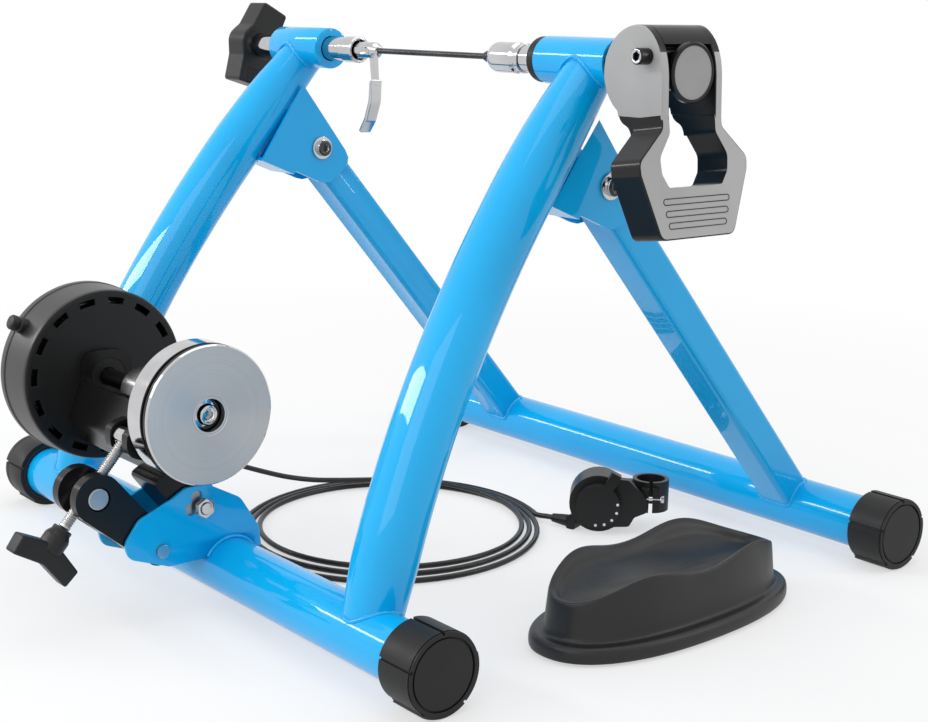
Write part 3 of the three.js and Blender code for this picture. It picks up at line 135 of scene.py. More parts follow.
def noise(nodes, links, place, scale, detail=3.0, stretch=None):
    """A noise on Object coordinates, its scale in lumps per metre."""
    if stretch:
        mapping = nodes.new("ShaderNodeMapping")
        mapping.inputs["Scale"].default_value = stretch
        links.new(place, mapping.inputs["Vector"])
        place = mapping.outputs["Vector"]
    texture = nodes.new("ShaderNodeTexNoise")
    texture.inputs["Scale"].default_value = scale
    texture.inputs["Detail"].default_value = detail
    links.new(place, texture.inputs["Vector"])
    return texture.outputs["Fac"]


def ramp(nodes, links, value, low, high, start=0.35, end=0.65):
    """A two-colour ramp read from a value."""
    made = nodes.new("ShaderNodeValToRGB")
    made.color_ramp.elements[0].position = start
    made.color_ramp.elements[0].color = (*low, 1)
    made.color_ramp.elements[1].position = end
    made.color_ramp.elements[1].color = (*high, 1)
    links.new(value, made.inputs["Fac"])
    return made.outputs["Color"]


def spread(nodes, links, value, low, high):
    """A value mapped from 0 to 1 onto a range."""
    made = nodes.new("ShaderNodeMapRange")
    made.inputs["To Min"].default_value = low
    made.inputs["To Max"].default_value = high
    links.new(value, made.inputs["Value"])
    return made.outputs["Result"]


def raise_bump(nodes, links, principled, height, strength, depth):
    """A bump of the given depth, in metres, on the shader's normal."""
    made = nodes.new("ShaderNodeBump")
    made.inputs["Strength"].default_value = strength
    made.inputs["Distance"].default_value = depth
    links.new(height, made.inputs["Height"])
    links.new(made.outputs["Normal"], principled.inputs["Normal"])
    return made


def gloss_paint(name, low, high, rough, coat, shine=0.5):
    """Sprayed enamel: an even colour, a faint orange peel and a clear gloss."""
    material, nodes, links, principled, place = shader(name)
    colour = ramp(nodes, links, noise(nodes, links, place, PAINT_TONE), low, high)
    links.new(colour, principled.inputs["Base Color"])
    sheen = spread(nodes, links, noise(nodes, links, place, PAINT_SHEEN), *rough)
    links.new(sheen, principled.inputs["Roughness"])
    principled.inputs["Specular IOR Level"].default_value = shine
    principled.inputs["Coat Weight"].default_value = coat
    principled.inputs["Coat Roughness"].default_value = 0.03
    raise_bump(nodes, links, principled, noise(nodes, links, place, ORANGE_PEEL, 1.0), 0.06, PEEL_DEPTH)
    return material


def moulded(name, low, high, rough, grain, strength, shine=0.3):
    """Moulded plastic or rubber with a fine spark-eroded grain."""
    material, nodes, links, principled, place = shader(name)
    colour = ramp(nodes, links, noise(nodes, links, place, PLASTIC_TONE), low, high)
    links.new(colour, principled.inputs["Base Color"])
    sheen = spread(nodes, links, noise(nodes, links, place, PLASTIC_SHEEN), *rough)
    links.new(sheen, principled.inputs["Roughness"])
    principled.inputs["Specular IOR Level"].default_value = shine
    raise_bump(nodes, links, principled, noise(nodes, links, place, grain, 2.0), strength, GRAIN_DEPTH)
    return material


def plated(name, low, high, rough):
    """Bright plating with faint handling haze."""
    material, nodes, links, principled, place = shader(name)
    principled.inputs["Metallic"].default_value = 1.0
    colour = ramp(nodes, links, noise(nodes, links, place, PLATING_TONE), low, high)
    links.new(colour, principled.inputs["Base Color"])
    sheen = spread(nodes, links, noise(nodes, links, place, PLATING_SHEEN), *rough)
    links.new(sheen, principled.inputs["Roughness"])
    raise_bump(nodes, links, principled, noise(nodes, links, place, PLATING_HAZE, 1.0), 0.1, HAZE_DEPTH)
    return material


def lathe_cut(name, centre, low, high, rough, rings, strength, pull=0.0):
    """Metal turned on a lathe: fine rings about a centre line along X, which pull the highlight out."""
    material, nodes, links, principled, place = shader(name)
    principled.inputs["Metallic"].default_value = 0.35 if pull > 0 else 1.0
    mapping = nodes.new("ShaderNodeMapping")
    mapping.inputs["Location"].default_value = (0, -centre.y, -centre.z)
    links.new(place, mapping.inputs["Vector"])
    parts = nodes.new("ShaderNodeSeparateXYZ")
    links.new(mapping.outputs["Vector"], parts.inputs["Vector"])
    flat = nodes.new("ShaderNodeCombineXYZ")
    links.new(parts.outputs["Y"], flat.inputs["Y"])
    links.new(parts.outputs["Z"], flat.inputs["Z"])
    radius = nodes.new("ShaderNodeVectorMath")
    radius.operation = "LENGTH"
    links.new(flat.outputs["Vector"], radius.inputs[0])
    ringed = nodes.new("ShaderNodeCombineXYZ")
    links.new(radius.outputs["Value"], ringed.inputs["X"])
    links.new(parts.outputs["X"], ringed.inputs["Y"])
    texture = nodes.new("ShaderNodeTexNoise")
    texture.inputs["Scale"].default_value = rings
    texture.inputs["Detail"].default_value = 2.0
    links.new(ringed.outputs["Vector"], texture.inputs["Vector"])
    links.new(ramp(nodes, links, texture.outputs["Fac"], low, high), principled.inputs["Base Color"])
    sheen = spread(nodes, links, noise(nodes, links, place, LATHE_SHEEN), *rough)
    links.new(sheen, principled.inputs["Roughness"])
    raise_bump(nodes, links, principled, texture.outputs["Fac"], strength, RING_DEPTH)
    if pull > 0:
        principled.inputs["Anisotropic"].default_value = pull
        round_way = nodes.new("ShaderNodeVectorMath")
        round_way.operation = "CROSS_PRODUCT"
        round_way.inputs[0].default_value = (1, 0, 0)
        links.new(flat.outputs["Vector"], round_way.inputs[1])
        links.new(round_way.outputs["Vector"], principled.inputs["Tangent"])
    return material


SHAFT = Vector((0, middle("flywheel").y, middle("flywheel").z))
blue_enamel = gloss_paint("blue_enamel", (0.0, 0.38, 0.78), (0.001, 0.41, 0.83), (0.34, 0.42), 0.8, 0.05)
black_enamel = gloss_paint("black_enamel", grey(0.005), grey(0.009), (0.2, 0.26), 0.0, 0.26)
black_nylon = moulded("black_nylon", grey(0.006), grey(0.011), (0.34, 0.42), 1500, 0.3)
# The drum's wall and back: its black plastic in a lighter grey, a painted sheen of the light along the round
# wall.
drum_painted_sheen = moulded("drum_painted_sheen", grey(0.016), grey(0.022), (0.36, 0.42), 1300, 0.25, 0.6)
drum_plastic = moulded("drum_plastic", grey(0.005), grey(0.009), (0.38, 0.46), 1300, 0.35, 0.35)
riser_plastic = moulded("riser_plastic", grey(0.006), grey(0.011), (0.36, 0.46), 900, 0.4, 0.4)
cap_rubber = moulded("cap_rubber", grey(0.006), grey(0.012), (0.42, 0.55), 1100, 0.3)
cable_vinyl = moulded("cable_vinyl", grey(0.005), grey(0.009), (0.28, 0.36), 700, 0.15, 0.4)
bright_chrome = plated("bright_chrome", (0.5, 0.5, 0.51), (0.6, 0.6, 0.61), (0.05, 0.1))
zinc_plate = plated("zinc_plate", grey(0.34), grey(0.44), (0.25, 0.35))
dark_steel = plated("dark_steel", grey(0.05), grey(0.08), (0.25, 0.35))
turned_steel = lathe_cut("turned_steel", SHAFT, grey(0.22), grey(0.34), (0.2, 0.28), 9000, 0.4)
flywheel_steel = lathe_cut("flywheel_steel", SHAFT, grey(0.46), grey(0.54), (0.34, 0.4), 9000, 0.08, 0.8)
satin_grey = moulded("satin_grey", grey(0.37), grey(0.43), (0.42, 0.52), 2600, 0.35)
disc_grey = moulded("disc_grey", grey(0.27), grey(0.32), (0.42, 0.52), 2600, 0.3)
cheek_grey = moulded("cheek_grey", grey(0.31), grey(0.37), (0.36, 0.44), 2400, 0.3, 0.5)
ferrite = moulded("ferrite", (0.04, 0.04, 0.042), (0.06, 0.06, 0.062), (0.6, 0.8), 900, 0.4)
bearing_seal = moulded("bearing_seal", grey(0.006), grey(0.012), (0.4, 0.5), 900, 0.2)
white_mark = moulded("white_mark", grey(0.72), grey(0.8), (0.4, 0.5), 900, 0.1)


# Ways of making a piece.
ORIGIN = Vector((0, 0, 0))
NEAR = 0.002 * MM
NEAR_IN_CAD = 0.005 * MM


def clear():
    """Nothing is selected, so the next operator acts only on what is made next."""
    bpy.ops.object.select_all(action="DESELECT")


def only(piece):
    """This piece alone is selected and active."""
    clear()
    piece.select_set(True)
    bpy.context.view_layer.objects.active = piece


def settle(piece):
    """The piece's place goes into its mesh."""
    only(piece)
    bpy.ops.object.transform_apply(location=True, rotation=True, scale=True)


def flat_faces_flat(piece, angle):
    """Round faces are shaded smooth and flat ones stay flat, right up to their rounded edges."""
    only(piece)
    bpy.ops.object.shade_smooth_by_angle(angle=math.radians(angle))
    weigh = piece.modifiers.new("weigh", "WEIGHTED_NORMAL")
    weigh.keep_sharp = True
    bpy.ops.object.modifier_apply(modifier="weigh")


def soften(piece, edge, angle=32, segments=2):
    """Sharp edges get a small radius."""
    only(piece)
    if edge > 0:
        bevel = piece.modifiers.new("edge", "BEVEL")
        bevel.width = edge * MM
        bevel.segments = segments
        bevel.limit_method = "ANGLE"
        bevel.angle_limit = math.radians(angle)
        bevel.use_clamp_overlap = True
        bpy.ops.object.modifier_apply(modifier="edge")
    flat_faces_flat(piece, angle)


def done(piece, node, material, stands_for=True):
    """The piece gets its finish, rides with its CAD node and stands for it."""
    if not piece.data.materials:
        piece.data.materials.append(material)
    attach(piece, RIDES[node])
    if stands_for:
        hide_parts(node)
    return piece


AXIS_TURN = {"x": (math.pi / 2, 0, math.pi / 2), "y": (math.pi / 2, 0, math.pi), "z": (0, 0, 0)}


def turned(name, axis, profile, at, sides=96, edge=0.3):
    """A turned piece: a ring drawn out along its axis and scaled to each radius in turn.
    The profile holds [radius, place along the axis], and closes on itself where there is a bore."""
    clear()
    ring = profile[0] == profile[-1]
    first, start = profile[0]
    bpy.ops.mesh.primitive_circle_add(vertices=sides, radius=first * MM, location=(0, 0, start * MM))
    piece = bpy.context.object
    piece.name = name
    bpy.ops.object.transform_apply(location=True)
    bpy.ops.object.mode_set(mode="EDIT")
    bpy.ops.mesh.select_all(action="SELECT")
    if not ring:
        bpy.ops.mesh.edge_face_add()
        bpy.ops.mesh.select_all(action="SELECT")
    for (r, along), (next_r, next_along) in zip(profile, profile[1:]):
        move = {"value": (0, 0, (next_along - along) * MM)}
        if ring:
            bpy.ops.mesh.extrude_edges_move(TRANSFORM_OT_translate=move)
        else:
            bpy.ops.mesh.extrude_region_move(TRANSFORM_OT_translate=move)
        grow = next_r / r
        bpy.ops.transform.resize(value=(grow, grow, 1), center_override=(0, 0, next_along * MM))
    bpy.ops.mesh.select_all(action="SELECT")
    bpy.ops.mesh.remove_doubles(threshold=NEAR)
    bpy.ops.mesh.normals_make_consistent(inside=False)
    bpy.ops.object.mode_set(mode="OBJECT")
    piece.rotation_euler = AXIS_TURN[axis]
    piece.location = at
    settle(piece)
    soften(piece, edge)
    return piece


def sleeve(inner, outer, start, end):
    """The profile of a plain tube."""
    return [[inner, start], [outer, start], [outer, end], [inner, end], [inner, start]]


def rounded(corners, steps=6):
    """An outline whose corners are rounded: each corner is [a, b, radius]."""
    points = []
    count = len(corners)
    for i, corner in enumerate(corners):
        here = Vector(corner[:2])
        before = Vector(corners[i - 1][:2]) - here
        after = Vector(corners[(i + 1) % count][:2]) - here
        radius = corner[2] if len(corner) > 2 else 0
        if radius <= 0:
            points.append(here)
            continue
        angle = before.angle(after)
        back = min(radius / math.tan(angle / 2), before.length / 2, after.length / 2)
        start = here + before.normalized() * back
        end = here + after.normalized() * back
        for k in range(steps + 1):
            share = k / steps
            points.append(start * (1 - share) ** 2 + here * 2 * share * (1 - share) + end * share**2)
    return points


PLATE_TURN = {"x": (math.pi / 2, 0, math.pi / 2), "y": (math.pi / 2, 0, 0), "z": (0, 0, 0)}


def plate(name, axis, outline, start, end, at, edge=0.4, holes=()):
    """A piece cut to an outline: a filled curve that is given its thickness and a rounded edge."""
    clear()
    curve = bpy.data.curves.new(name, "CURVE")
    curve.dimensions = "2D"
    curve.fill_mode = "BOTH"
    curve.extrude = (end - start) / 2 * MM - edge * MM
    curve.bevel_depth = edge * MM
    curve.bevel_resolution = 2
    curve.offset = -edge * MM
    for loop in (outline, *holes):
        spline = curve.splines.new("POLY")
        spline.points.add(len(loop) - 1)
        for point, place in zip(spline.points, loop):
            point.co = (place[0] * MM, place[1] * MM, 0, 1)
        spline.use_cyclic_u = True
    piece = bpy.data.objects.new(name, curve)
    bpy.context.scene.collection.objects.link(piece)
    only(piece)
    bpy.ops.object.convert(target="MESH")
    piece = bpy.context.object
    bpy.ops.object.mode_set(mode="EDIT")
    bpy.ops.mesh.select_all(action="SELECT")
    bpy.ops.mesh.remove_doubles(threshold=NEAR)
    bpy.ops.mesh.normals_make_consistent(inside=False)
    bpy.ops.object.mode_set(mode="OBJECT")
    middle_along = (start + end) / 2 * MM
    piece.rotation_euler = PLATE_TURN[axis]
    piece.location = Vector(at) + Vector([middle_along if way == axis else 0 for way in "xyz"])
    settle(piece)
    flat_faces_flat(piece, 32)
    return piece


def circle(radius, a=0.0, b=0.0, steps=40, start=0.0, sweep=TAU):
    """Points round a circle, or round part of one."""
    last = steps if sweep == TAU else steps - 1
    turns = [start + sweep * k / last for k in range(steps)]
    return [Vector((a + radius * math.cos(t), b + radius * math.sin(t))) for t in turns]


def pipe(name, points, radius, closed=False, resolution=4, radii=None):
    """A round rod along a line of points."""
    clear()
    curve = bpy.data.curves.new(name, "CURVE")
    curve.dimensions = "3D"
    curve.bevel_depth = radius
    curve.bevel_resolution = resolution
    curve.use_fill_caps = not closed
    spline = curve.splines.new("POLY")
    spline.points.add(len(points) - 1)
    for i, (point, place) in enumerate(zip(spline.points, points)):
        point.co = (*place, 1)
        point.radius = radii[i] if radii else 1
    spline.use_cyclic_u = closed
    piece = bpy.data.objects.new(name, curve)
    bpy.context.scene.collection.objects.link(piece)
    return piece


def meshed(piece, angle=50):
    """A curve piece made a mesh."""
    only(piece)
    bpy.ops.object.convert(target="MESH")
    bpy.ops.object.shade_smooth_by_angle(angle=math.radians(angle))
    return bpy.context.object


def carve(piece, *tools):
    """Cuts each tool out of the piece, and the tools go."""
    for tool in tools:
        only(piece)
        cutter = piece.modifiers.new("carve", "BOOLEAN")
        cutter.operation = "DIFFERENCE"
        cutter.solver = "EXACT"
        cutter.object = tool
        bpy.ops.object.modifier_apply(modifier="carve")
        bpy.data.objects.remove(tool)
    return piece


def fused(name, first, *others):
    """Several shapes of one piece joined into one mesh."""
    only(first)
    for other in others:
        other.select_set(True)
    bpy.ops.object.join()
    first.name = name
    return first


def like_cad(node, edge=0.5, angle=32, segments=2, smooth=0):
    """A piece that keeps its CAD shape: its mesh is merged, and its edges or its whole skin are rounded."""
    source = frame["nodes"][node]
    clear()
    mesh = source.data.copy()
    mesh.materials.clear()
    piece = bpy.data.objects.new(node + "_finished", mesh)
    bpy.context.scene.collection.objects.link(piece)
    only(piece)
    bpy.ops.mesh.customdata_custom_splitnormals_clear()
    bpy.ops.object.mode_set(mode="EDIT")
    bpy.ops.mesh.select_all(action="SELECT")
    bpy.ops.mesh.remove_doubles(threshold=NEAR_IN_CAD)
    if smooth:
        bpy.ops.mesh.tris_convert_to_quads(face_threshold=math.radians(70), shape_threshold=math.radians(70))
    else:
        bpy.ops.mesh.dissolve_limited(angle_limit=math.radians(0.6))
    bpy.ops.object.mode_set(mode="OBJECT")
    if smooth:
        skin = piece.modifiers.new("skin", "SUBSURF")
        skin.levels = smooth
        skin.render_levels = smooth
        bpy.ops.object.modifier_apply(modifier="skin")
        bpy.ops.object.shade_smooth_by_angle(angle=math.radians(angle))
    else:
        soften(piece, edge, angle, segments)
    return piece


def place(piece, at, turn=(0, 0, 0)):
    """The piece is turned by degrees about the frame's axes and carried to its place."""
    piece.rotation_euler = [math.radians(t) for t in turn]
    piece.location = at
    settle(piece)
    return piece


def mirrored(piece, name):
    """A copy of the piece with its own mesh, mirrored to the stand's other side."""
    only(piece)
    bpy.ops.object.duplicate(linked=False)
    twin = bpy.context.object
    twin.name = name
    twin.location = (2 * STAND_X, 0, 0)
    twin.scale = (-1, 1, 1)
    settle(twin)
    bpy.ops.object.mode_set(mode="EDIT")
    bpy.ops.mesh.select_all(action="SELECT")
    bpy.ops.mesh.normals_make_consistent(inside=False)
    bpy.ops.object.mode_set(mode="OBJECT")
    return twin


def done_on_both_sides(piece, name, node, stands_for=True):
    """A blue piece on the right and its twin on the left, each with the CAD node of its own side."""
    twin = mirrored(piece, f"{name}_left")
    done(piece, f"{node}_right", blue_enamel, stands_for)
    done(twin, f"{node}_left", blue_enamel, stands_for)


def repaint(piece, material, belongs):
    """A second material on the faces whose middle, in the stand's millimetres, and normal belong to it; it
    serves for second finishes and for painted light and shade.
    """
    if len(piece.data.materials) == 0:
        raise ValueError("the piece has no first finish")
    piece.data.materials.append(material)
    index = len(piece.data.materials) - 1
    zero = put(0, 0, 0)
    for face in piece.data.polygons:
        if belongs((face.center - zero) / MM, face.normal):
            face.material_index = index
    return piece


def round_cutter(axis, r, start, end, at, sides=64):
    """A round bar for boring a hole."""
    return turned("cutter", axis, [[r, start], [r, end]], at, sides, 0)


def hex_socket(piece, axis, r, start, end, at):
    """A six-sided socket sunk into a screw's head."""
    return carve(piece, round_cutter(axis, r, start, end, at, 6))


# Driving sizes of the stand, in millimetres, and the places that follow from them.
AXLE_HEIGHT = 362
AXLE = put(0, 0, AXLE_HEIGHT)
MAIN_Y = -195
FOLD_Y = 228
BASE_Z = 26.8
BASE_R = 19.5
BASE_HALF = 261.6
BASE_WALL = 1.8
STAND_HALF = 268
BUSHING_R = 15.5
BUSHING_BORE = 9.3
BUSHING_FROM = 126.4
BUSHING_TO = 192.4
SHAFT_R = 8.9
MAIN_AT = put(0, MAIN_Y, BASE_Z)
FOLD_AT = put(0, FOLD_Y, BASE_Z)


# Base tubes and bushings.
base_profile = sleeve(BASE_R - BASE_WALL, BASE_R, -BASE_HALF, BASE_HALF)
done(turned("main_tube", "x", base_profile, MAIN_AT, 96, 0.4), "main_base_tube", blue_enamel)
done(turned("fold_tube", "x", base_profile, FOLD_AT, 96, 0.4), "fold_base_tube", blue_enamel)
bushing_profile = sleeve(BUSHING_BORE, BUSHING_R, BUSHING_FROM, BUSHING_TO)
bushing = turned("bushing_sleeve_right", "x", bushing_profile, AXLE, 96, 0.8)
done_on_both_sides(bushing, "bushing_sleeve", "bushing")

# Uprights: a tube drawn down its bow, waisted where it meets the bushing.
UPRIGHT_R = 20.5
UPRIGHT_TOP = Vector((165, 5.7, AXLE_HEIGHT))
UPRIGHT_FOOT = Vector((199.5, -198, BASE_Z))
UPRIGHT_BOW = 25.9
UPRIGHT_STEPS = 32
FOOT_DRIFT = Vector((-4.7, 3.7, 0))
WAIST = [(0, 0.78), (0.04, 0.82), (0.09, 0.91), (0.15, 0.97), (0.22, 1.0), (0.88, 1.0), (1.0, 0.87)]


def bow(t):
    """The middle line of an upright, from the axle down to the base tube."""
    spot = UPRIGHT_TOP.lerp(UPRIGHT_FOOT, t)
    near_foot = max((t - 0.55) / 0.45, 0) ** 2
    return spot + Vector((0, -UPRIGHT_BOW * 4 * t * (1 - t), 0)) + FOOT_DRIFT * near_foot


def bow_way(t, step=0.001):
    """The way the tube runs there, downwards."""
    return (bow(t + step) - bow(t - step)).normalized()


def waist(t):
    """The tube's radius as a share of its full radius."""
    for (t0, r0), (t1, r1) in zip(WAIST, WAIST[1:]):
        if t <= t1:
            share = (t - t0) / (t1 - t0)
            return r0 + (r1 - r0) * share
    return 1.0


def tilt(t):
    """How far the tube leans over in the side view."""
    way = bow_way(t)
    return math.atan2(way.y, -way.z)


def upright():
    """A filled circle drawn down the bow, leaned and scaled at each step, and cut to what it meets."""
    clear()
    bpy.ops.mesh.primitive_circle_add(vertices=80, radius=UPRIGHT_R * waist(0) * MM)
    tube = bpy.context.object
    tube.name = "upright_tube_right"
    tube.rotation_euler = bow_way(0).to_track_quat("Z", "X").to_euler()
    tube.location = put(*bow(0))
    bpy.ops.object.transform_apply(location=True, rotation=True)
    bpy.ops.object.mode_set(mode="EDIT")
    bpy.ops.mesh.select_all(action="SELECT")
    bpy.ops.mesh.edge_face_add()
    bpy.ops.mesh.select_all(action="SELECT")
    for k in range(UPRIGHT_STEPS):
        t0, t1 = k / UPRIGHT_STEPS, (k + 1) / UPRIGHT_STEPS
        here, there = put(*bow(t0)), put(*bow(t1))
        bpy.ops.mesh.extrude_region_move(TRANSFORM_OT_translate={"value": there - here})
        bpy.ops.transform.rotate(value=tilt(t0) - tilt(t1), orient_axis="X", center_override=there)
        grow = waist(t1) / waist(t0)
        bpy.ops.transform.resize(value=(grow, grow, grow), center_override=there)
    bpy.ops.mesh.select_all(action="SELECT")
    bpy.ops.mesh.normals_make_consistent(inside=False)
    bpy.ops.object.mode_set(mode="OBJECT")
    carve(
        tube,
        round_cutter("x", BUSHING_R - 0.4, BUSHING_FROM - 10, BUSHING_TO + 20, AXLE, 96),
        round_cutter("x", BASE_R - 0.2, 120, STAND_HALF, MAIN_AT, 96),
    )
    flat_faces_flat(tube, 40)
    return tube


def bead(name, spots, r=1.5):
    """A weld bead laid as a closed run of small ripples along a seam."""
    ripple = [1 + 0.12 * math.sin(0.5 * TAU * k) + 0.06 * math.sin(1.7 * k) for k in range(len(spots))]
    return meshed(pipe(name, [put(*p) for p in spots], r * MM, closed=True, resolution=3, radii=ripple), 80)


def seam(middle_of_tube, way, outline, y, z, r):
    """Where a tube with this outline, running along a way, meets a round tube that lies along X."""
    side = Vector((1, 0, 0))
    side = (side - way * side.dot(way)).normalized()
    other = way.cross(side)
    spots = []
    for a, b in outline:
        start = middle_of_tube - way * 60 + side * a + other * b
        dy, dz = start.y - y, start.z - z
        qa = way.y**2 + way.z**2
        qb = 2 * (dy * way.y + dz * way.z)
        qc = dy**2 + dz**2 - r**2
        inside = max(qb**2 - 4 * qa * qc, 0)
        spots.append(start + way * ((-qb - math.sqrt(inside)) / (2 * qa)))
    return spots


done_on_both_sides(upright(), "upright_tube", "upright")
FOOT_SEAM_AT = 0.97
FOOT_SEAM_R = 0.89 * UPRIGHT_R
TOP_SEAM_AT = 0.05
TOP_SEAM_R = 0.86 * UPRIGHT_R
foot_ring = circle(FOOT_SEAM_R, steps=96)
foot_seam = seam(bow(FOOT_SEAM_AT), bow_way(FOOT_SEAM_AT), foot_ring, MAIN_Y, BASE_Z, BASE_R)
done_on_both_sides(bead("upright_weld_right", foot_seam), "upright_weld", "upright", stands_for=False)
top_ring = circle(TOP_SEAM_R, steps=96)
top_seam = seam(bow(TOP_SEAM_AT), -bow_way(TOP_SEAM_AT), top_ring, 0, AXLE_HEIGHT, BUSHING_R)
done_on_both_sides(bead("bushing_weld_right", top_seam, 1.3), "bushing_weld", "upright", stands_for=False)

# Legs of the folding frame: box tube with well rounded edges.
LEG_X = 165
LEG_WIDE = 30
LEG_DEEP = 26.5
LEG_PAST = 12
LEG_EDGE = 4.5
PIVOT = Vector((LEG_X, 4.7, 283.4))
LEG_FOOT = Vector((LEG_X, FOLD_Y, BASE_Z))
leg_way = (LEG_FOOT - PIVOT).normalized()
leg_long = (LEG_FOOT - PIVOT).length
leg_lean = math.degrees(math.atan2(leg_way.y, -leg_way.z))


def leg():
    """A block with its four long edges rounded, bored for the bolt and cut to the base tube."""
    clear()
    whole = (leg_long + LEG_PAST) * MM
    bpy.ops.mesh.primitive_cube_add(size=1, location=(0, 0, (LEG_PAST * MM - leg_long * MM) / 2))
    tube = bpy.context.object
    tube.name = "leg_tube_right"
    tube.scale = (LEG_WIDE * MM, LEG_DEEP * MM, whole)
    settle(tube)
    bpy.ops.object.mode_set(mode="EDIT")
    bpy.ops.mesh.select_mode(type="EDGE")
    bpy.ops.mesh.select_all(action="DESELECT")
    bpy.ops.object.mode_set(mode="OBJECT")
    for edge in tube.data.edges:
        a, b = (tube.data.vertices[v].co for v in edge.vertices)
        edge.select = abs(a.z - b.z) > whole / 2
    bpy.ops.object.mode_set(mode="EDIT")
    bpy.ops.mesh.bevel(offset=LEG_EDGE * MM, segments=5)
    bpy.ops.object.mode_set(mode="OBJECT")
    carve(tube, round_cutter("x", 4.3, -LEG_WIDE, LEG_WIDE, ORIGIN, 32))
    place(tube, put(*PIVOT), (leg_lean, 0, 0))
    carve(tube, round_cutter("x", BASE_R - 0.2, LEG_X - 40, LEG_X + 40, FOLD_AT, 96))
    soften(tube, 0.8, 40)
    return tube


done_on_both_sides(leg(), "leg_tube", "leg")
box_corners = [
    [side_a * LEG_WIDE / 2, side_b * LEG_DEEP / 2, LEG_EDGE]
    for side_a, side_b in ((-1, -1), (1, -1), (1, 1), (-1, 1))
]
SEAM_STEP = 1.5
leg_ring = []
leg_outline = rounded(box_corners, 5)
for a, b in zip(leg_outline, leg_outline[1:] + leg_outline[:1]):
    stretches = max(int((b - a).length / SEAM_STEP), 1)
    leg_ring += [a.lerp(b, k / stretches) for k in range(stretches)]
leg_seam = seam(LEG_FOOT - leg_way * 10, leg_way, leg_ring, FOLD_Y, BASE_Z, BASE_R)
done_on_both_sides(bead("leg_weld_right", leg_seam), "leg_weld", "leg", stands_for=False)

# Folding pivots: socket-head bolts with washer faces.
CHEEK_FACE = 18.2
bolt_profile = [
    [5.2, 5.7],
    [6.4, 4.6],
    [6.4, 1.5],
    [9, 1.5],
    [9, 0],
    [4, 0],
    [4, -2 * CHEEK_FACE - 10],
]


def on_head(spot, normal):
    """The end face of a bolt's head."""
    return math.hypot(spot.y - PIVOT.y, spot.z - PIVOT.z) < 5.8 and normal.x > 0.6


for side, name in ((1, "right"), (-1, "left")):
    bolt_at = put(side * LEG_X + CHEEK_FACE, PIVOT.y, PIVOT.z)
    bolt = turned(f"pivot_bolt_{name}", "x", bolt_profile, bolt_at, 48, 0.35)
    hex_socket(bolt, "x", 3.2, 2.6, 8, bolt_at)
    bolt.data.materials.append(bright_chrome)
    repaint(bolt, dark_steel, on_head)
    done(bolt, f"fold_bolt_{name}", bright_chrome)

# Bracket plates on the main tube, with the three-lobed slot of the tilt shaft.
UNIT_X = 18.5
PLATE = 2.5
PLATE_FROM = 17
TILT_Y = MAIN_Y - 20.4
TILT_Z = BASE_Z + 44.4
SLOT_LOBE = 5
SLOT_R = 4.4
slot_turn = math.radians(-30)
slot_y = TILT_Y - SLOT_LOBE * math.cos(slot_turn)
slot_z = TILT_Z - SLOT_LOBE * math.sin(slot_turn)
bracket_corners = [
    [-78, 29.2, 9],
    [-67, 44.2, 10],
    [-45, 52.7, 8],
    [-33, 59.7, 8],
    [-17, 59.7, 8],
    [8, 46.2, 12],
    [22, 24.2, 3],
    [24, 9.6, 0],
    [-46, 8.6, 3],
    [-75, 19.2, 9],
]


def slot_outline(steps=90):
    """Three overlapping round holes as one opening."""
    spots = []
    for k in range(steps):
        turn = TAU * k / steps
        off = (turn - slot_turn + TAU / 6) % (TAU / 3) - TAU / 6
        r = SLOT_LOBE * math.cos(off) + math.sqrt(max(SLOT_R**2 - (SLOT_LOBE * math.sin(off)) ** 2, 0))
        spots.append(Vector((slot_y + r * math.cos(turn), slot_z + r * math.sin(turn))))
    return spots


def bracket_plate(name, start):
    """One plate, with its slot, its rivet hole and its saddle for the base tube."""
    outline = [Vector((a + MAIN_Y, b + BASE_Z)) for a, b in rounded(bracket_corners)]
    holes = [slot_outline(), circle(3.3, MAIN_Y - 51.5, BASE_Z + 20.8, 24)]
    made = plate(name, "x", outline, start, start + PLATE, put(0, 0, 0), 0.4, holes)
    return carve(made, round_cutter("x", BASE_R - 0.1, start - 5, start + PLATE + 5, MAIN_AT, 96))


done(bracket_plate("bracket_plate_near", UNIT_X + PLATE_FROM), "bracket_near", blue_enamel)
done(bracket_plate("bracket_plate_far", UNIT_X - PLATE_FROM - PLATE), "bracket_far", blue_enamel)
WELD_R = 20.4
for name, x in (("near", 38.4), ("far", -1.4)):
    turns = [math.radians(t) for t in range(30, 151, 3)]
    arc = [put(x, MAIN_Y + WELD_R * math.cos(t), BASE_Z + WELD_R * math.sin(t)) for t in turns]
    weld = meshed(pipe(f"bracket_weld_{name}", arc, 1.3 * MM, resolution=3), 80)
    done(weld, f"bracket_{name}", blue_enamel, stands_for=False)
wear_at = put(UNIT_X + 16.65, TILT_Y, TILT_Z)
wear_washer = turned("wear_washer", "x", sleeve(4.2, 12, 0, 0.25), wear_at, 64, 0)
done(wear_washer, "yoke", zinc_plate, stands_for=False)

# Feet: five stepped sectors with a notch between them, a ringed face and a socket for the tube.
FOOT_R = 26.8
FOOT_LONG = 29.5
FOOT_SECTORS = 5
FOOT_STEP = 0.45
FOOT_FLOOR = 6
FOOT_RIM = 2.6
NOTCH = 1.6
NOTCH_DEEP = 1.3
SECTOR_STEPS = 16


def foot_outline(inset=0.0):
    """Five arcs, each a step smaller than the last, with a notch before each."""
    sector = TAU / FOOT_SECTORS
    notch = NOTCH / FOOT_R
    spots = []
    for k in range(FOOT_SECTORS):
        r = FOOT_R - k * FOOT_STEP - inset
        start = -math.pi / 2 - sector / 2 + k * sector
        for turn in (0, 0.25, 0.75, 1):
            spots.append((r - NOTCH_DEEP, start + turn * notch))
        for j in range(SECTOR_STEPS + 1):
            spots.append((r, start + notch * 1.05 + (sector - notch * 1.1) * j / SECTOR_STEPS))
    return [Vector((r * math.cos(t), r * math.sin(t))) for r, t in spots]


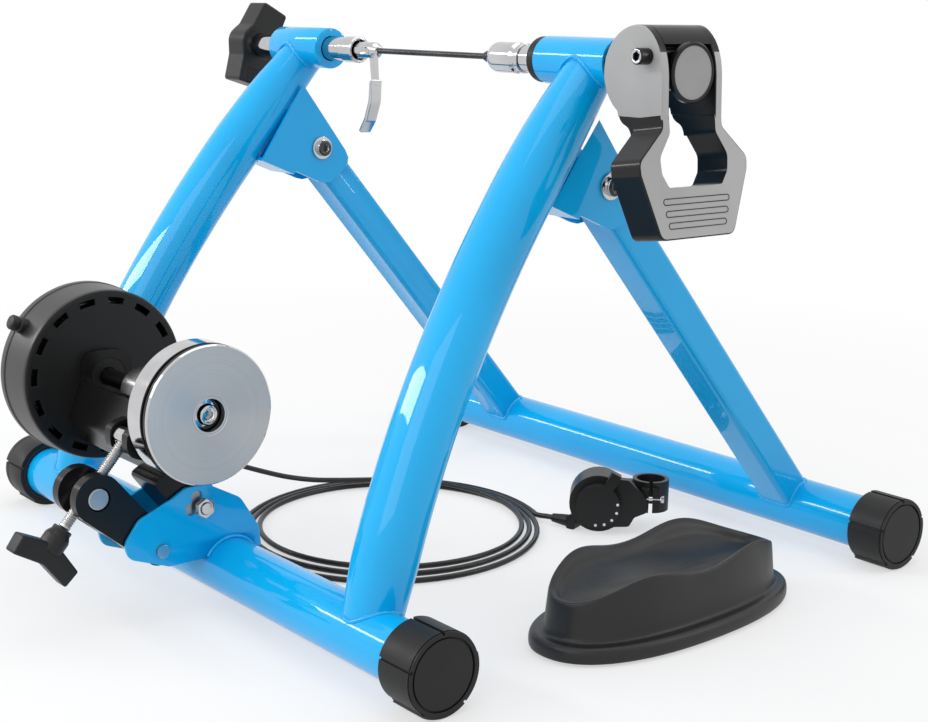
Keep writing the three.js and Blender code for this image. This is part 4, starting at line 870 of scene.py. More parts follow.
def foot(name):
    """A foot on its own middle line: socket wall, floor, rim, ringed face and soft lip."""
    inner = STAND_HALF - FOOT_LONG
    ring_r = FOOT_R - (FOOT_SECTORS - 1) * FOOT_STEP - FOOT_RIM
    bore = circle(BASE_R + 0.4, steps=72)
    ring = circle(ring_r, steps=72)
    disc = circle(ring_r - 1.1, steps=72)
    floor_at = STAND_HALF - FOOT_FLOOR
    ring_at = STAND_HALF - 1.9
    lip_profile = [[19.95, inner - 0.6], [21.6, inner - 0.6], [22.4, inner + 1], [19.95, inner + 1]]
    wall = plate("foot_wall", "x", foot_outline(), inner, floor_at, ORIGIN, 0.35, [bore])
    floor = plate("foot_floor", "x", foot_outline(), floor_at - 0.1, STAND_HALF - 1.6, ORIGIN, 0.05)
    rim = plate("foot_rim", "x", foot_outline(0.5), ring_at, STAND_HALF, ORIGIN, 0.45, [ring])
    face = plate("foot_face", "x", disc, ring_at, STAND_HALF - 0.3, ORIGIN, 0.45)
    lip = turned("foot_lip", "x", lip_profile + lip_profile[:1], ORIGIN, 72, 0.3)
    return fused(name, wall, floor, rim, face, lip)


main_foot = foot("foot_cap_main_right")
only(main_foot)
bpy.ops.object.duplicate(linked=False)
fold_foot = bpy.context.object
fold_foot.name = "foot_cap_fold_right"
place(main_foot, MAIN_AT)
place(fold_foot, FOLD_AT)
for foot_cap, end in ((main_foot, "main"), (fold_foot, "fold")):
    twin = mirrored(foot_cap, f"foot_cap_{end}_left")
    done(foot_cap, f"foot_{end}_right", cap_rubber)
    done(twin, f"foot_{end}_left", cap_rubber)

# Resistance unit: roller, shaft and flywheel on the line of the drive shaft.
SHAFT_Y = MAIN_Y - 29.5
SHAFT_Z = BASE_Z + 113.2
SHAFT_AT = put(0, SHAFT_Y, SHAFT_Z)
BORE = 6.3
FLY_BACK = 40.2
FLY_FRONT = 64.9
FLY_R = 45.7
TURNED_ON_SHAFT = {
    "drive_shaft": ([[5.4, -93], [6, -92.4], [6, 52.9]], dark_steel, 0.2),
    "bearing_left": (sleeve(BORE, 13, -78, -73), bearing_seal, 0.3),
    "bearing_right": (sleeve(BORE, 13, 30.5, 36), bearing_seal, 0.3),
    "roller": (
        [[BORE, -28.5], [12.6, -28.5], [13.4, -27.9], [15, -27], [15.4, -26], [15.1, -16], [14.7, -6]]
        + [[14.6, -1], [14.7, 4], [15.1, 14], [15.4, 24], [15, 25], [13.4, 25.9], [12.6, 26.5]]
        + [[BORE, 26.5], [BORE, -28.5]],
        turned_steel,
        0.0,
    ),
    "flywheel": (
        [
            [BORE, FLY_BACK],
            [FLY_R - 1.2, FLY_BACK],
            [FLY_R, FLY_BACK + 1.2],
            [FLY_R, FLY_FRONT - 7.4],
            [FLY_R - 0.6, FLY_FRONT - 6.9],
            [FLY_R - 2.6, FLY_FRONT - 6.9],
            [FLY_R - 2.6, FLY_FRONT - 4.2],
            [FLY_R - 0.6, FLY_FRONT - 4.2],
            [FLY_R, FLY_FRONT - 3.7],
            [FLY_R, FLY_FRONT - 1.1],
            [FLY_R - 1.1, FLY_FRONT],
            [13, FLY_FRONT],
            [12.7, FLY_FRONT - 0.5],
            [12.1, FLY_FRONT - 0.5],
            [11.6, FLY_FRONT - 0.1],
            [10.8, FLY_FRONT - 0.4],
            [10.6, FLY_FRONT - 8],
            [BORE, FLY_FRONT - 8],
            [BORE, FLY_BACK],
        ],
        flywheel_steel,
        0.12,
    ),
    "rotor": (sleeve(BORE, 51, -91.2, -88.2), turned_steel, 0.3),
    "magnet_ring_fixed": (sleeve(20, 47, -86.2, -81.2), ferrite, 0.4),
    "magnet_ring_moving": (sleeve(20, 47, -99.2, -94.2), ferrite, 0.4),
}


def on_shaft(at):
    """How far a place is from the drive shaft's middle line."""
    return math.hypot(at.y - SHAFT_Y, at.z - SHAFT_Z)


def on_rim(at, normal):
    """The flywheel's plated outer band."""
    return abs(normal.x) < 0.8 and on_shaft(at) > FLY_R - 1.6


def painted_dark_band(at, normal):
    """Painted shade and painted reflection: the flywheel's groove, the plated band round it and the well of
    its screw, painted black.
    """
    return FLY_FRONT - 9 < at.x < FLY_FRONT - 1.1 and not 10.9 <= on_shaft(at) <= 20


for node, (profile, material, edge) in TURNED_ON_SHAFT.items():
    sides = 160 if node == "flywheel" else 96
    piece = turned(node + "_turned", "x", profile, SHAFT_AT, sides, edge)
    if node == "flywheel":
        piece.data.materials.append(material)
        repaint(piece, bright_chrome, on_rim)
        # The groove and the screw's well are painted black as painted shade, and the plated band beside the
        # groove as a painted dark reflection.
        repaint(piece, black_enamel, painted_dark_band)
    done(piece, node, material)
screw_profile = [
    [5, FLY_FRONT - 11.6],
    [5, FLY_FRONT - 7.7],
    [9.9, FLY_FRONT - 7.7],
    [9.9, FLY_FRONT - 5.6],
    [6.9, FLY_FRONT - 5.2],
    [6.9, FLY_FRONT - 3],
    [6.2, FLY_FRONT - 1.7],
    [5, FLY_FRONT - 1.1],
]
fly_bolt = turned("flywheel_screw", "x", screw_profile, SHAFT_AT, 64, 0.2)
hex_socket(fly_bolt, "x", 3.2, FLY_FRONT - 4.2, FLY_FRONT + 2, SHAFT_AT)
done(fly_bolt, "flywheel_bolt", bright_chrome)

# Drum: a vented front with a smooth post, and a plain back with the cable's horn.
DRUM_FACE = -78.3
DRUM_SEAM = -107.6
DRUM_BACK = -117.5
DRUM_R = 60
VENTS = 15
VENT_MIDDLE = DRUM_R - 7.4
VENT_HALF = 2.3
VENT_TURN = math.radians(7)
VENT_ARC = math.radians(13)
vent_holes = []
for k in range(VENTS):
    at = k / VENTS * TAU + VENT_TURN
    outer = circle(VENT_MIDDLE + VENT_HALF, steps=7, start=at - VENT_ARC / 2, sweep=VENT_ARC)
    inner = circle(VENT_MIDDLE - VENT_HALF, steps=7, start=at + VENT_ARC / 2, sweep=-VENT_ARC)
    vent_holes.append(outer + inner)
disc_holes = [circle(15, steps=48)] + vent_holes
disc_back = DRUM_FACE - 2.6
drum_disc = plate("drum_disc", "x", circle(57.1, steps=120), disc_back, DRUM_FACE, SHAFT_AT, 0.3, disc_holes)
wall_profile = [
    [57, disc_back],
    [57, DRUM_FACE],
    [58.4, DRUM_FACE],
    [59.4, DRUM_FACE - 0.5],
    [59.9, DRUM_FACE - 1.5],
    [60.1, DRUM_FACE - 2.8],
    [61, DRUM_SEAM + 0.9],
    [60.4, DRUM_SEAM + 0.3],
    [58.4, DRUM_SEAM + 0.3],
    [57.4, disc_back],
    [57, disc_back],
]
drum_wall = turned("drum_wall", "x", wall_profile, SHAFT_AT, 128, 0.0)
POST_FROM = DRUM_R - 2
POST_LEAN = 155
post_profile = [
    [5.6, POST_FROM],
    [5.6, POST_FROM + 6.6],
    [4.7, POST_FROM + 7.2],
    [4.7, POST_FROM + 8],
    [5.3, POST_FROM + 8.6],
    [5.3, POST_FROM + 12.2],
    [4.6, POST_FROM + 13.4],
    [3, POST_FROM + 14],
]
post_at = SHAFT_AT + Vector(((DRUM_SEAM + 6.6) * MM, 6.5 * MM, 10.5 * MM))
drum_post = place(turned("drum_post", "y", post_profile, ORIGIN, 32, 0.15), post_at, (POST_LEAN, 0, 0))
drum_front = fused("drum_front", drum_wall, drum_disc, drum_post)
drum_front.data.materials.append(drum_plastic)
# The front's round outer wall takes the lighter grey: painted sheen.
repaint(drum_front, drum_painted_sheen, lambda at, normal: abs(normal.x) < 0.5 and 59 < on_shaft(at) < 62)
done(drum_front, "housing_front", drum_plastic)
shell_profile = [
    [56, DRUM_BACK],
    [58.6, DRUM_BACK + 0.8],
    [60.8, DRUM_BACK + 2.6],
    [61.6, DRUM_BACK + 5],
    [61.6, DRUM_SEAM - 0.6],
    [61, DRUM_SEAM],
    [59, DRUM_SEAM],
    [59, DRUM_BACK + 5],
    [19.6, DRUM_BACK + 5],
    [19.6, -95.2],
]
drum_shell = turned("drum_shell", "x", shell_profile, SHAFT_AT, 128, 0.0)
HORN_AT = Vector((-113, -173.5, 106))
HORN_LEAN = -58
HORN_LONG = 12
horn_profile = [[5, -5], [5, HORN_LONG - 3], [4.4, HORN_LONG - 2], [4.4, HORN_LONG]]
drum_horn = place(turned("drum_horn", "y", horn_profile, ORIGIN, 32, 0.3), put(*HORN_AT), (HORN_LEAN, 0, 0))
# The back takes the same lighter grey: painted sheen.
done(fused("drum_rear", drum_shell, drum_horn), "housing_back", drum_painted_sheen)

# Adjuster: cross pin, barrel, threaded rod and the T-shaped knob, on the line of the screw.
PIN_BACK = 92.9
PIN_UP = 61.8
BARREL_BACK = 64.1
BARREL_UP = 94.7
PIN_AT = put(UNIT_X, MAIN_Y - PIN_BACK, BASE_Z + PIN_UP)
AIM = math.degrees(math.atan2(BARREL_UP - PIN_UP, PIN_BACK - BARREL_BACK))
SPAN = math.hypot(BARREL_UP - PIN_UP, PIN_BACK - BARREL_BACK)


def on_screw(piece):
    """Carries a piece made along Y to the screw's own line."""
    return place(piece, PIN_AT, (AIM, 0, 0))


def along_screw(name, r, profile, ahead, bore_to):
    """A cross bar on the screw's line, with its bore for the screw."""
    made = turned(name, "x", profile, (0, ahead * MM, 0), 64, 0.5)
    carve(made, round_cutter("y", 4.3, ahead - 2 * r, bore_to, ORIGIN, 32))
    return on_screw(made)


pin = along_screw("trunnion_pin", 7.5, [[6.7, -15.9], [7.5, -15.1], [7.5, 15.1], [6.7, 15.9]], 0, 20)
done(pin, "cross_pin", zinc_plate)
barrel_profile = [[5.9, -9.6], [6.6, -8.9], [6.6, 8.9], [5.9, 9.6]]
done(along_screw("barrel_bar", 6.6, barrel_profile, SPAN, SPAN + 4.2), "barrel_nut", bright_chrome)
THREAD_R = 3.9
THREAD_ROOT = 3.35
PITCH = 1.6
thread = [[3.3, -26], [THREAD_R, -25.4]]
spot = -24
while spot < SPAN + 2:
    thread += [[THREAD_R, spot], [THREAD_ROOT, spot + 0.55]]
    thread += [[THREAD_ROOT, spot + 0.85], [THREAD_R, spot + 1.4]]
    spot += PITCH
thread.append([THREAD_R, SPAN + 3.8])
done(on_screw(turned("threaded_rod", "y", thread, ORIGIN, 32, 0.0)), "adjuster_screw", zinc_plate)
KNOB_TOP = -26.3
hub_profile = [
    [7.4, KNOB_TOP - 17],
    [8.6, KNOB_TOP - 15.8],
    [8.6, KNOB_TOP - 7],
    [7.9, KNOB_TOP - 5.2],
    [6.6, KNOB_TOP - 3],
    [6.6, KNOB_TOP - 0.5],
    [6.1, KNOB_TOP],
]
bar_corners = [
    [KNOB_TOP - 12, -5.8, 2],
    [KNOB_TOP - 17.3, -24, 1.8],
    [KNOB_TOP - 30, -22.6, 1.8],
    [KNOB_TOP - 25.5, 0, 12],
    [KNOB_TOP - 30, 22.6, 1.8],
    [KNOB_TOP - 17.3, 24, 1.8],
    [KNOB_TOP - 12, 5.8, 2],
]
knob_hub = turned("knob_hub", "y", hub_profile, ORIGIN, 48, 0.3)
knob_wing = plate("knob_wing", "x", rounded(bar_corners, 8), -6.4, 6.4, ORIGIN, 1.5)
done(on_screw(fused("t_knob", knob_hub, knob_wing)), "adjuster_knob", black_nylon)

# Left clamp: two-wing knob with grip lines, its screw, and the cup with the skewer's head.
WING_FACE = -229
WING_BACK = -253
WING_HUB = 18
WING_TIP = 35.2
WING_TURNS = (61, 253)
GRIP_LINES = 7


def polar(r, turn):
    """A place by its radius and its turn in degrees."""
    return [r * math.cos(math.radians(turn)), r * math.sin(math.radians(turn))]


wing_corners = []
for w in WING_TURNS:
    wing_corners += [[*polar(WING_HUB, w - 48), 5], [*polar(WING_TIP, w - 20), 3]]
    wing_corners += [[*polar(WING_TIP, w + 20), 3], [*polar(WING_HUB, w + 48), 5]]
    wing_corners.append([*polar(WING_HUB + 1, w + 92), 14])
wing_body = plate("wing_body", "x", rounded(wing_corners, 8), WING_BACK, WING_FACE, AXLE, 1.6)
carve(wing_body, round_cutter("x", SHAFT_R + 0.3, WING_FACE - 10.3, WING_FACE + 3, AXLE))
grip_lines = []
grip_way = Vector(polar(1, WING_TURNS[1]))
grip_across = Vector((-grip_way.y, grip_way.x))
for k in range(GRIP_LINES):
    reach = WING_TIP - 2.4 - k * 2.1
    half = 4.4 + 0.35 * k
    ends = [grip_way * reach + grip_across * half, grip_way * reach - grip_across * half]
    spots = [AXLE + Vector((WING_FACE, p.x, p.y)) * MM for p in ends]
    grip_lines.append(meshed(pipe("grip_line", spots, 0.45 * MM, resolution=2)))
done(fused("wing_knob", wing_body, *grip_lines), "star_knob", black_nylon)
TURNED_ON_AXLE = {
    "clamp_screw_left": ([[8.3, -239], [8.9, -238.4], [8.9, -104.9], [8.3, -104.3]], bright_chrome, 0.15),
    "cup_left": (
        [[8.9, -104], [9.9, -103], [9.9, -89], [9.2, -88.1], [8.2, -88], [7.6, -88.4], [6.6, -97]],
        bright_chrome,
        0.2,
    ),
    "skewer_rod": (
        [[2.1, -63.7], [2.1, 61], [3, 61], [4.1, 64], [4.1, 71.5], [3.4, 72], [2.1, 72], [2.1, 74]],
        dark_steel,
        0.15,
    ),
    "cup_right": (
        [[4.7, 84], [4.7, 69.4], [5.1, 69], [5.6, 69.2], [8, 71.5], [9.6, 73.8], [10.3, 76], [10.4, 78]]
        + [[10.4, 96], [9.4, 97], [8.6, 98], [8.6, 100], [10, 100.5], [10, 103.6], [9.5, 104]],
        bright_chrome,
        0.15,
    ),
    "clamp_shaft_right": ([[8.5, 104.4], [8.9, 104.8], [8.9, 202.4], [8.3, 203]], bright_chrome, 0.15),
    "seal_ring": (
        [[9.2, 119], [13.4, 119], [14.6, 119.8], [15, 121], [15, 126.1], [9.2, 126.1], [9.2, 119]],
        cap_rubber,
        0.3,
    ),
}
for node, (profile, material, edge) in TURNED_ON_AXLE.items():
    done(turned(node + "_turned", "x", profile, AXLE, 96, edge), node, material)
SKEWER_X = -71
skewer_at = put(SKEWER_X, 0, AXLE_HEIGHT)
head_profile = [[5.2, -96.7], [6.2, -95.7], [6.2, -68], [5.4, -66.2], [3.1, -64]]
head = turned("skewer_head_turned", "x", head_profile, AXLE, 64, 0.3)
slot_shape = [Vector((a, b)) for a, b in ((-10, -8.2), (9, -8.2), (9, 0), (4.6, 1.2), (4.6, 4.6), (-10, 4.6))]
slot_cut = plate("slot_cut", "y", slot_shape, -3, 3, skewer_at, 0)
carve(head, slot_cut, round_cutter("y", 2.7, -20, 20, skewer_at, 24))
done(head, "skewer_head", bright_chrome)
stem_corners = [[-3.1, 1.2], [3.1, 1.2], [3.5, -8, 3], [4.8, -26, 1], [1.2, -26, 1], [-1.2, -8, 3]]
blade_corners = [
    [1.4, -23, 0.8],
    [4.8, -21, 0.8],
    [3.8, -38, 8],
    [-2.2, -53, 6],
    [-9.6, -62, 0.8],
    [-11.8, -60, 0.8],
    [-5, -50.5, 6],
    [0.4, -37, 8],
]
stem = plate("lever_stem", "y", rounded(stem_corners, 8), -2.6, 2.6, skewer_at, 0.7)
blade = plate("lever_blade", "y", rounded(blade_corners, 10), -5, 5, skewer_at, 0.9)
heel = turned("lever_heel", "y", [[4, -2.6], [4, 2.6]], skewer_at, 40, 0.4)
pivot_pin = turned("lever_pin", "y", [[2.4, -5.7], [2.4, 5.7]], skewer_at, 24, 0.3)
done(fused("quick_lever", stem, blade, heel, pivot_pin), "skewer_lever", bright_chrome)

# End housing: sleeve, neck, boss and the round end disc with its grey face.
DISC_Z = AXLE_HEIGHT - 3.5
DISC_AT = put(0, 0, DISC_Z)
CAM_X = 242.4
CAM_Z = AXLE_HEIGHT + 6
CAM_AT = put(CAM_X, 0, CAM_Z)
end_sleeve = [[9.3, 192.7], [14, 192.7], [14, 213], [12.8, 214.5], [9.3, 214.5], [9.3, 192.7]]
end_disc = [[17.6, 251.4], [18.5, 252.2], [18.5, 255.2], [17.7, 256], [16.4, 256], [16, 255.5]]
housing = fused(
    "end_casting",
    turned("end_sleeve", "x", end_sleeve, AXLE, 96, 0.5),
    turned("end_neck", "x", [[11.5, 212.6], [11.5, 251.6]], DISC_AT, 72, 0.3),
    turned("end_disc", "x", end_disc, DISC_AT, 96, 0.0),
    turned("end_boss", "y", [[6.4, -19.4], [6.4, 19.4]], CAM_AT, 48, 0.6),
)


def on_disc(at, normal):
    """The end disc's flat face."""
    return normal.x > 0.95 and at.x > 255.2 and math.hypot(at.y, at.z - DISC_Z) < 2


housing.data.materials.append(black_enamel)
repaint(housing, disc_grey, on_disc)
done(housing, "end_housing", black_enamel)
cam_profile = [[4.3, -36], [5, -35.3], [5, -26.5], [3.8, -26.5], [3.8, 29.9], [3.2, 30.5]]
cam_bolt = turned("cam_screw", "y", cam_profile, CAM_AT, 48, 0.25)
hex_socket(cam_bolt, "y", 2.9, -40, -33, CAM_AT)
cam_bolt.data.materials.append(black_enamel)
repaint(cam_bolt, bright_chrome, lambda at, normal: normal.y < -0.9 and at.y < -35.5)
done(cam_bolt, "cam_pin", black_enamel)

# Cam lever: two round grey cheeks under a black hood, and the six-sided loop with its finger window.
CHEEK_X = 233.8
CHEEK_Z = AXLE_HEIGHT - 4
CHEEK_R = 28.4
CHEEK_AT = put(CHEEK_X, 0, CHEEK_Z)


def bend(*places, steps=8):
    """Soft bends from place to place, each pulled towards the corner between two places."""
    spots = [Vector(p) for p in places]
    made = []
    for a, b, c in zip(spots[:-2:2], spots[1:-1:2], spots[2::2]):
        shares = [k / steps for k in range(1, steps + 1)]
        made += [a * (1 - s) ** 2 + b * 2 * s * (1 - s) + c * s**2 for s in shares]
    return made


def is_front(at, normal):
    """The cheeks' satin front edges, below the hood."""
    return normal.x > 0.85 and at.x > CHEEK_X + 18 and at.z < CHEEK_Z + 13


def is_dark(at, normal):
    """The cheeks' inner faces, and their edges under the hood."""
    return abs(at.y) < 21 or (abs(normal.y) < 0.6 and at.z > CHEEK_Z + 13)


round_back = circle(CHEEK_R, steps=60, start=math.radians(88), sweep=math.radians(148))
cheek_shape = round_back + [Vector((-14.8, -27)), Vector((22.6, -27)), Vector((21.8, -6))]
cheek_shape += bend((21.8, -6), (21.6, 16), (9.7, 25), (5.7, 28.2), (1.2, 28.4))[:-1]
hood_shape = circle(CHEEK_R, steps=4, start=math.radians(96), sweep=math.radians(-8))
hood_shape += bend((1, 28.4), (5.7, 28.2), (9.7, 25), (13.8, 21.8), (16.4, 17.4))
hood_shape.append(Vector((14, 15.6)))
hood_shape += bend((14, 15.6), (10.8, 20.4), (6.8, 22.6), (3.8, 24.8), (0, 25.4))
hood_shape.append(Vector((-2.7, 25.4)))
pin_hole = circle(4.2, CAM_X - CHEEK_X, CAM_Z - CHEEK_Z, 32)
cheeks = fused(
    "cam_cheeks",
    plate("cheek_near", "y", cheek_shape, -26.2, -20, CHEEK_AT, 0.8, [pin_hole]),
    plate("cheek_far", "y", cheek_shape, 20, 26.2, CHEEK_AT, 0.8, [pin_hole]),
)
cheeks.data.materials.append(cheek_grey)
repaint(cheeks, satin_grey, is_front)
repaint(cheeks, black_enamel, is_dark)
done(cheeks, "cam_lever", cheek_grey)
web_shape = [Vector((-14.6, -26))]
web_shape += bend((-14.6, -26), (-13.4, -30.5), (-8.4, -32.2), (-4.2, -33.8), (-3.2, -39.5))
web_shape += [Vector((4, -39.5)), Vector((4, -26))]
webs = fused(
    "cam_webs",
    plate("web_near", "y", web_shape, -26.1, -20.1, CHEEK_AT, 0.8),
    plate("web_far", "y", web_shape, 20.1, 26.1, CHEEK_AT, 0.8),
)
done(webs, "cam_lever", black_enamel, stands_for=False)
hood = plate("cam_hood", "y", hood_shape, -20.2, 20.2, CHEEK_AT, 0.0)
done(hood, "cam_lever", black_enamel)
LOOP_DEEP = 25
LOOP_TILT = -8
LOOP_AT = put(256.4, 0, 331)
loop_half = [[-26.2, 3], [-26.2, -5, 6], [-47.5, -24, 9], [-46.8, -32, 6], [-32, -71.5, 7]]
window_half = [[-20, 4], [-20, -8, 6], [-29.6, -22, 8], [-28.6, -32, 6], [-23, -40.4, 4]]


def whole(half):
    """An outline and its mirror image as one."""
    return rounded(half + [[-c[0], *c[1:]] for c in reversed(half)], 8)


loop = plate("cam_loop", "x", whole(loop_half), -LOOP_DEEP, 0, ORIGIN, 0.9)
window = plate("window_cut", "x", whole(window_half), -LOOP_DEEP - 3, 3, ORIGIN, 0)
carve(loop, window)
loop.data.materials.append(black_enamel)
loop.data.materials.append(satin_grey)
# The loop's front face is satin grey. The window's upward sill is painted the same grey, a painted highlight
# where light falls into the window.
for face in loop.data.polygons:
    in_front = face.normal.x > 0.97 and face.center.x > -0.6 * MM
    on_painted_lit_sill = face.normal.z > 0.9 and -42 * MM < face.center.z < -36 * MM
    if in_front or on_painted_lit_sill:
        face.material_index = 1
flat_faces_flat(loop, 32)
place(loop, LOOP_AT, (0, LOOP_TILT, 0))
done(loop, "cam_lever", black_enamel)
# Grip grooves: thin black rods laid on the loop's front face, a painted shade of three oval grooves that are
# not cut.
GROOVE_R = 1.8
groove_shades = []
for drop, half in ((-48.5, 27), (-55.8, 25.5), (-63, 23.5)):
    ring = circle(GROOVE_R, half, drop, 12, -math.pi / 2, math.pi)
    ring += circle(GROOVE_R, -half, drop, 12, math.pi / 2, math.pi)
    spots = [Vector((0.02, p.x, p.y)) * MM for p in ring]
    groove_shades.append(meshed(pipe("groove_shade", spots, 0.32 * MM, closed=True, resolution=1)))
groove_shade_lines = place(fused("grip_groove_shade", *groove_shades), LOOP_AT, (0, LOOP_TILT, 0))
done(groove_shade_lines, "cam_lever", black_nylon, stands_for=False)

# Remote: five white dots round the face of its dial.
REMOTE_AT = put(64.2, 119.9, 0)
REMOTE_TURN = 45.6
DIAL_Z = 22.7
DOT_RING = 15
DOTS = 5
dots = []
for k in range(DOTS):
    turn = math.radians(8 - 26 * k)
    dot_at = Vector((DOT_RING * math.cos(turn), 0, DIAL_Z + DOT_RING * math.sin(turn))) * MM
    dots.append(turned("dot", "y", [[1.1, -21.5], [1.1, -21.2]], dot_at, 20, 0))
dial_dots = place(fused("dial_dots", *dots), REMOTE_AT, (0, 0, REMOTE_TURN))
done(dial_dots, "shifter_dial", white_mark, stands_for=False)

# CAD nodes that keep their shape, with softened edges.
KEPT = {
    "gusset_right": (blue_enamel, 0.9),
    "gusset_left": (blue_enamel, 0.9),
    "adjuster_fork": (black_enamel, 0.9),
    "yoke": (black_enamel, 0.7),
    "shifter_body": (black_nylon, 0.8),
    "shifter_dial": (black_nylon, 0.6),
    "shifter_clamp": (black_nylon, 0.6),
    "fold_nut_right": (bright_chrome, 0.4),
    "fold_nut_left": (bright_chrome, 0.4),
    "tilt_bolt": (bright_chrome, 0.4),
    "tilt_nut": (bright_chrome, 0.4),
    "fork_rivet": (bright_chrome, 0.8),
    "cam_nut": (bright_chrome, 0.4),
    "shifter_screw": (bright_chrome, 0.3),
    "shifter_gland": (cap_rubber, 0.3),
}
for node, (material, edge) in KEPT.items():
    done(like_cad(node, edge), node, material)
done(like_cad("riser_block", smooth=2, angle=60), "riser_block", riser_plastic)


# Remote cable: the route of the CAD tube. It runs between the drum, which tilts, and the floor, and stays
# fixed where it lies.
def centripetal(points, steps):
    """Places along a centripetal Catmull-Rom curve through the points."""
    count = len(points)
    made = []
    for i in range(steps + 1):
        spot = (count - 1) * i / steps
        k = min(int(spot), count - 2)
        share = spot - k
        p1, p2 = points[k], points[k + 1]
        p0 = points[k - 1] if k > 0 else points[0] * 2 - points[1]
        p3 = points[k + 2] if k + 2 < count else points[-1] * 2 - points[-2]
        d0, d1, d2 = ((b - a).length ** 0.5 for a, b in ((p0, p1), (p1, p2), (p2, p3)))
        m1 = ((p1 - p0) / d0 - (p2 - p0) / (d0 + d1) + (p2 - p1) / d1) * d1
        m2 = ((p2 - p1) / d1 - (p3 - p1) / (d1 + d2) + (p3 - p2) / d2) * d1
        s2, s3 = share**2, share**3
        leaving = p1 * (2 * s3 - 3 * s2 + 1) + m1 * (s3 - 2 * s2 + share)
        arriving = p2 * (3 * s2 - 2 * s3) + m2 * (s3 - s2)
        made.append(leaving + arriving)
    return made


CABLE_R = 2.1
CABLE_FLOOR = 0.3
SEAT = 0.3
horn_way = Vector((0, math.cos(math.radians(HORN_LEAN)), math.sin(math.radians(HORN_LEAN))))
horn_tip = HORN_AT + horn_way * (HORN_LONG + SEAT)
RISE = [
    (-115, -150, 77),
    (-124, -117, 56),
    (-132.5, -86, 39.5),
    (-137, -58, 27.5),
    (-139, -34, 18.6),
    (-137.5, -10, 12.4),
    (-131.5, 15, 9.2),
]
RISE_STEPS = 48
COIL_TURNS = 3 + 80 / 360
COIL_START = math.radians(105)
COIL_LONG = (98, 118)
COIL_WIDE = (97, 131)
COIL_FROM = (-33.6, -5.7)
COIL_TO = (-22.9, -16.2)
COIL_AXIS = math.radians(45.6)
COIL_TOP = 8.2
TURN_STEPS = 72
LAND_SHARE = 9 / 77
GLAND_TIP = Vector((38.6, 95.9, 5.5))
GLAND_AIM = math.radians(18.6)
LEAD = [(19.6, 95.1, 3.1), (26.6, 93.7, 4.3), (33, 94.2, 5.3)]


def blend_of(pair, share):
    """A value part of the way between two."""
    return pair[0] + (pair[1] - pair[0]) * share


def cable_route():
    """Out of the drum, down to the floor, three turns and a bit, and into the remote's gland."""
    route = [horn_tip]
    route += centripetal([horn_tip + horn_way * 5] + [Vector(p) for p in RISE], RISE_STEPS)
    coil_steps = round(COIL_TURNS * TURN_STEPS)
    for i in range(coil_steps + 1):
        share = i / coil_steps
        turn = COIL_START - share * COIL_TURNS * TAU
        a = blend_of(COIL_LONG, share) * math.cos(turn)
        b = blend_of(COIL_WIDE, share) * math.sin(turn)
        ease = min(share / LAND_SHARE, 1)
        z = blend_of((COIL_TOP, CABLE_R + CABLE_FLOOR), ease * ease * (3 - 2 * ease))
        x = blend_of((COIL_FROM[0], COIL_TO[0]), share) + a * math.cos(COIL_AXIS) - b * math.sin(COIL_AXIS)
        y = blend_of((COIL_FROM[1], COIL_TO[1]), share) + a * math.sin(COIL_AXIS) + b * math.cos(COIL_AXIS)
        route.append(Vector((x, y, z)))
    route += [Vector(p) for p in LEAD]
    route.append(GLAND_TIP - Vector((math.cos(GLAND_AIM), math.sin(GLAND_AIM), 0)) * SEAT)
    return [put(*p) for p in route]


route = cable_route()
cable = meshed(pipe("cable", route, CABLE_R * MM, resolution=3), angle=80)
cable.data.materials.append(cable_vinyl)
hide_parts("remote_cable")
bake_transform(cable)


# Floor, light and backdrop.
SHADOW_NEAR = 0.45
SHADOW_FAR = 1.25


def seen_as_background(nodes, links):
    """One for a camera, glossy or transmission ray, and zero for the rays that only carry light."""
    path = nodes.new("ShaderNodeLightPath")
    seen = path.outputs["Is Camera Ray"]
    for ray in ("Is Glossy Ray", "Is Transmission Ray"):
        either = nodes.new("ShaderNodeMath")
        either.operation = "MAXIMUM"
        links.new(seen, either.inputs[0])
        links.new(path.outputs[ray], either.inputs[1])
        seen = either.outputs["Value"]
    return seen


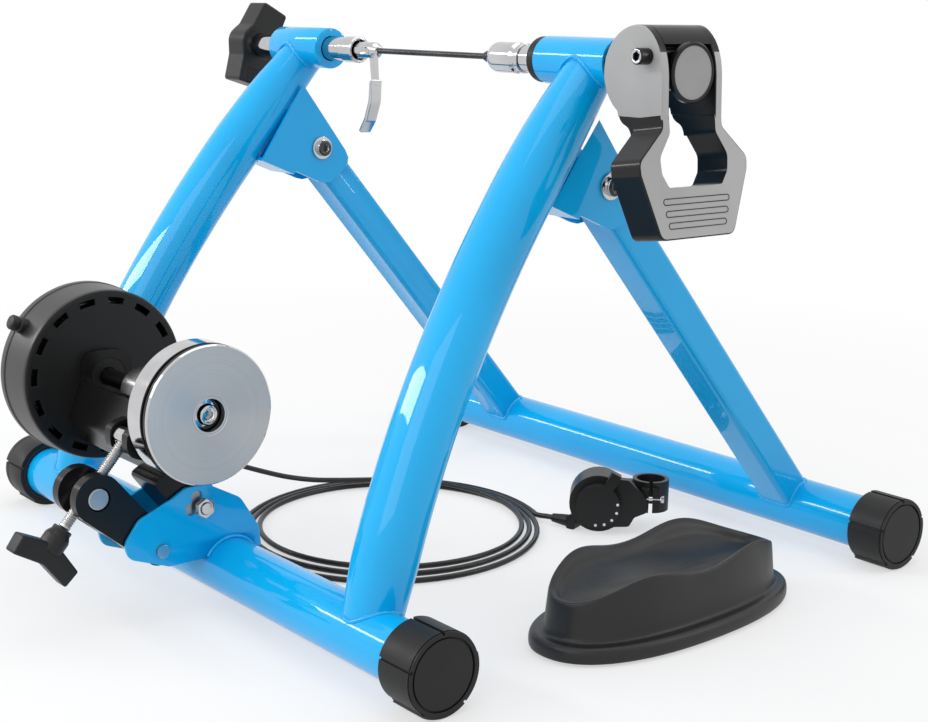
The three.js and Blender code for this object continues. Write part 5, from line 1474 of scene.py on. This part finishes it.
def add_floor():
    """A pale floor that shows white to the camera and keeps the object's shadow."""
    clear()
    bpy.ops.mesh.primitive_plane_add(size=24, location=(0, 0, -0.0002))
    floor = bpy.context.object
    floor.name = "floor"
    material, nodes, links, principled, place = shader("pale_floor")
    colour = ramp(nodes, links, noise(nodes, links, place, 2.0), (0.84, 0.84, 0.84), (0.86, 0.86, 0.86))
    links.new(colour, principled.inputs["Base Color"])
    principled.inputs["Roughness"].default_value = 0.7
    principled.inputs["Specular IOR Level"].default_value = 0.1
    away = nodes.new("ShaderNodeVectorMath")
    away.operation = "LENGTH"
    links.new(place, away.inputs[0])
    fade = nodes.new("ShaderNodeMapRange")
    fade.inputs["From Min"].default_value = SHADOW_NEAR
    fade.inputs["From Max"].default_value = SHADOW_FAR
    fade.inputs["To Min"].default_value = 0.55
    fade.inputs["To Max"].default_value = 1.0
    links.new(away.outputs["Value"], fade.inputs["Value"])
    share = nodes.new("ShaderNodeMath")
    share.operation = "MULTIPLY"
    links.new(seen_as_background(nodes, links), share.inputs[0])
    links.new(fade.outputs["Result"], share.inputs[1])
    glow = nodes.new("ShaderNodeEmission")
    mix = nodes.new("ShaderNodeMixShader")
    links.new(share.outputs["Value"], mix.inputs["Fac"])
    links.new(principled.outputs["BSDF"], mix.inputs[1])
    links.new(glow.outputs["Emission"], mix.inputs[2])
    links.new(mix.outputs["Shader"], nodes["Material Output"].inputs["Surface"])
    floor.data.materials.append(material)


def add_light(name, place, target, size, power):
    """A soft box that looks at a place on the stand."""
    bpy.ops.object.light_add(type="AREA", location=place)
    lamp = bpy.context.object
    lamp.name = name
    lamp.data.shape = "RECTANGLE"
    lamp.data.size, lamp.data.size_y = size
    lamp.data.energy = power
    lamp.rotation_euler = (Vector(target) - Vector(place)).to_track_quat("-Z", "Y").to_euler()


def add_backdrop():
    """White all round to the camera and in reflections, and a soft grey-white for the light."""
    world = bpy.data.worlds.new("studio")
    bpy.context.scene.world = world
    world.use_nodes = True
    nodes, links = world.node_tree.nodes, world.node_tree.links
    lit = nodes["Background"]
    lit.inputs["Color"].default_value = (1, 1, 1, 1)
    lit.inputs["Strength"].default_value = 0.6
    white = nodes.new("ShaderNodeBackground")
    white.inputs["Color"].default_value = (1, 1, 1, 1)
    white.inputs["Strength"].default_value = 1.0
    mix = nodes.new("ShaderNodeMixShader")
    links.new(seen_as_background(nodes, links), mix.inputs["Fac"])
    links.new(lit.outputs["Background"], mix.inputs[1])
    links.new(white.outputs["Background"], mix.inputs[2])
    links.new(mix.outputs["Shader"], nodes["World Output"].inputs["Surface"])


add_floor()
add_backdrop()
add_light("key_strip", (-1.7, -2.0, 1.5), (-1.7, 0, 0.15), (3.4, 0.3), 44)
add_light("front_box", (1.0, -2.0, 1.4), (0, 0, 0.2), (1.6, 1.2), 9)
add_light("top_box", (0.2, 0.3, 2.4), (0, 0, 0.1), (2.2, 2.2), 16)
add_light("back_strip", (1.9, 1.8, 1.5), (0, 0, 0.2), (0.12, 1.6), 10)
bpy.context.scene.view_settings.view_transform = "Standard"
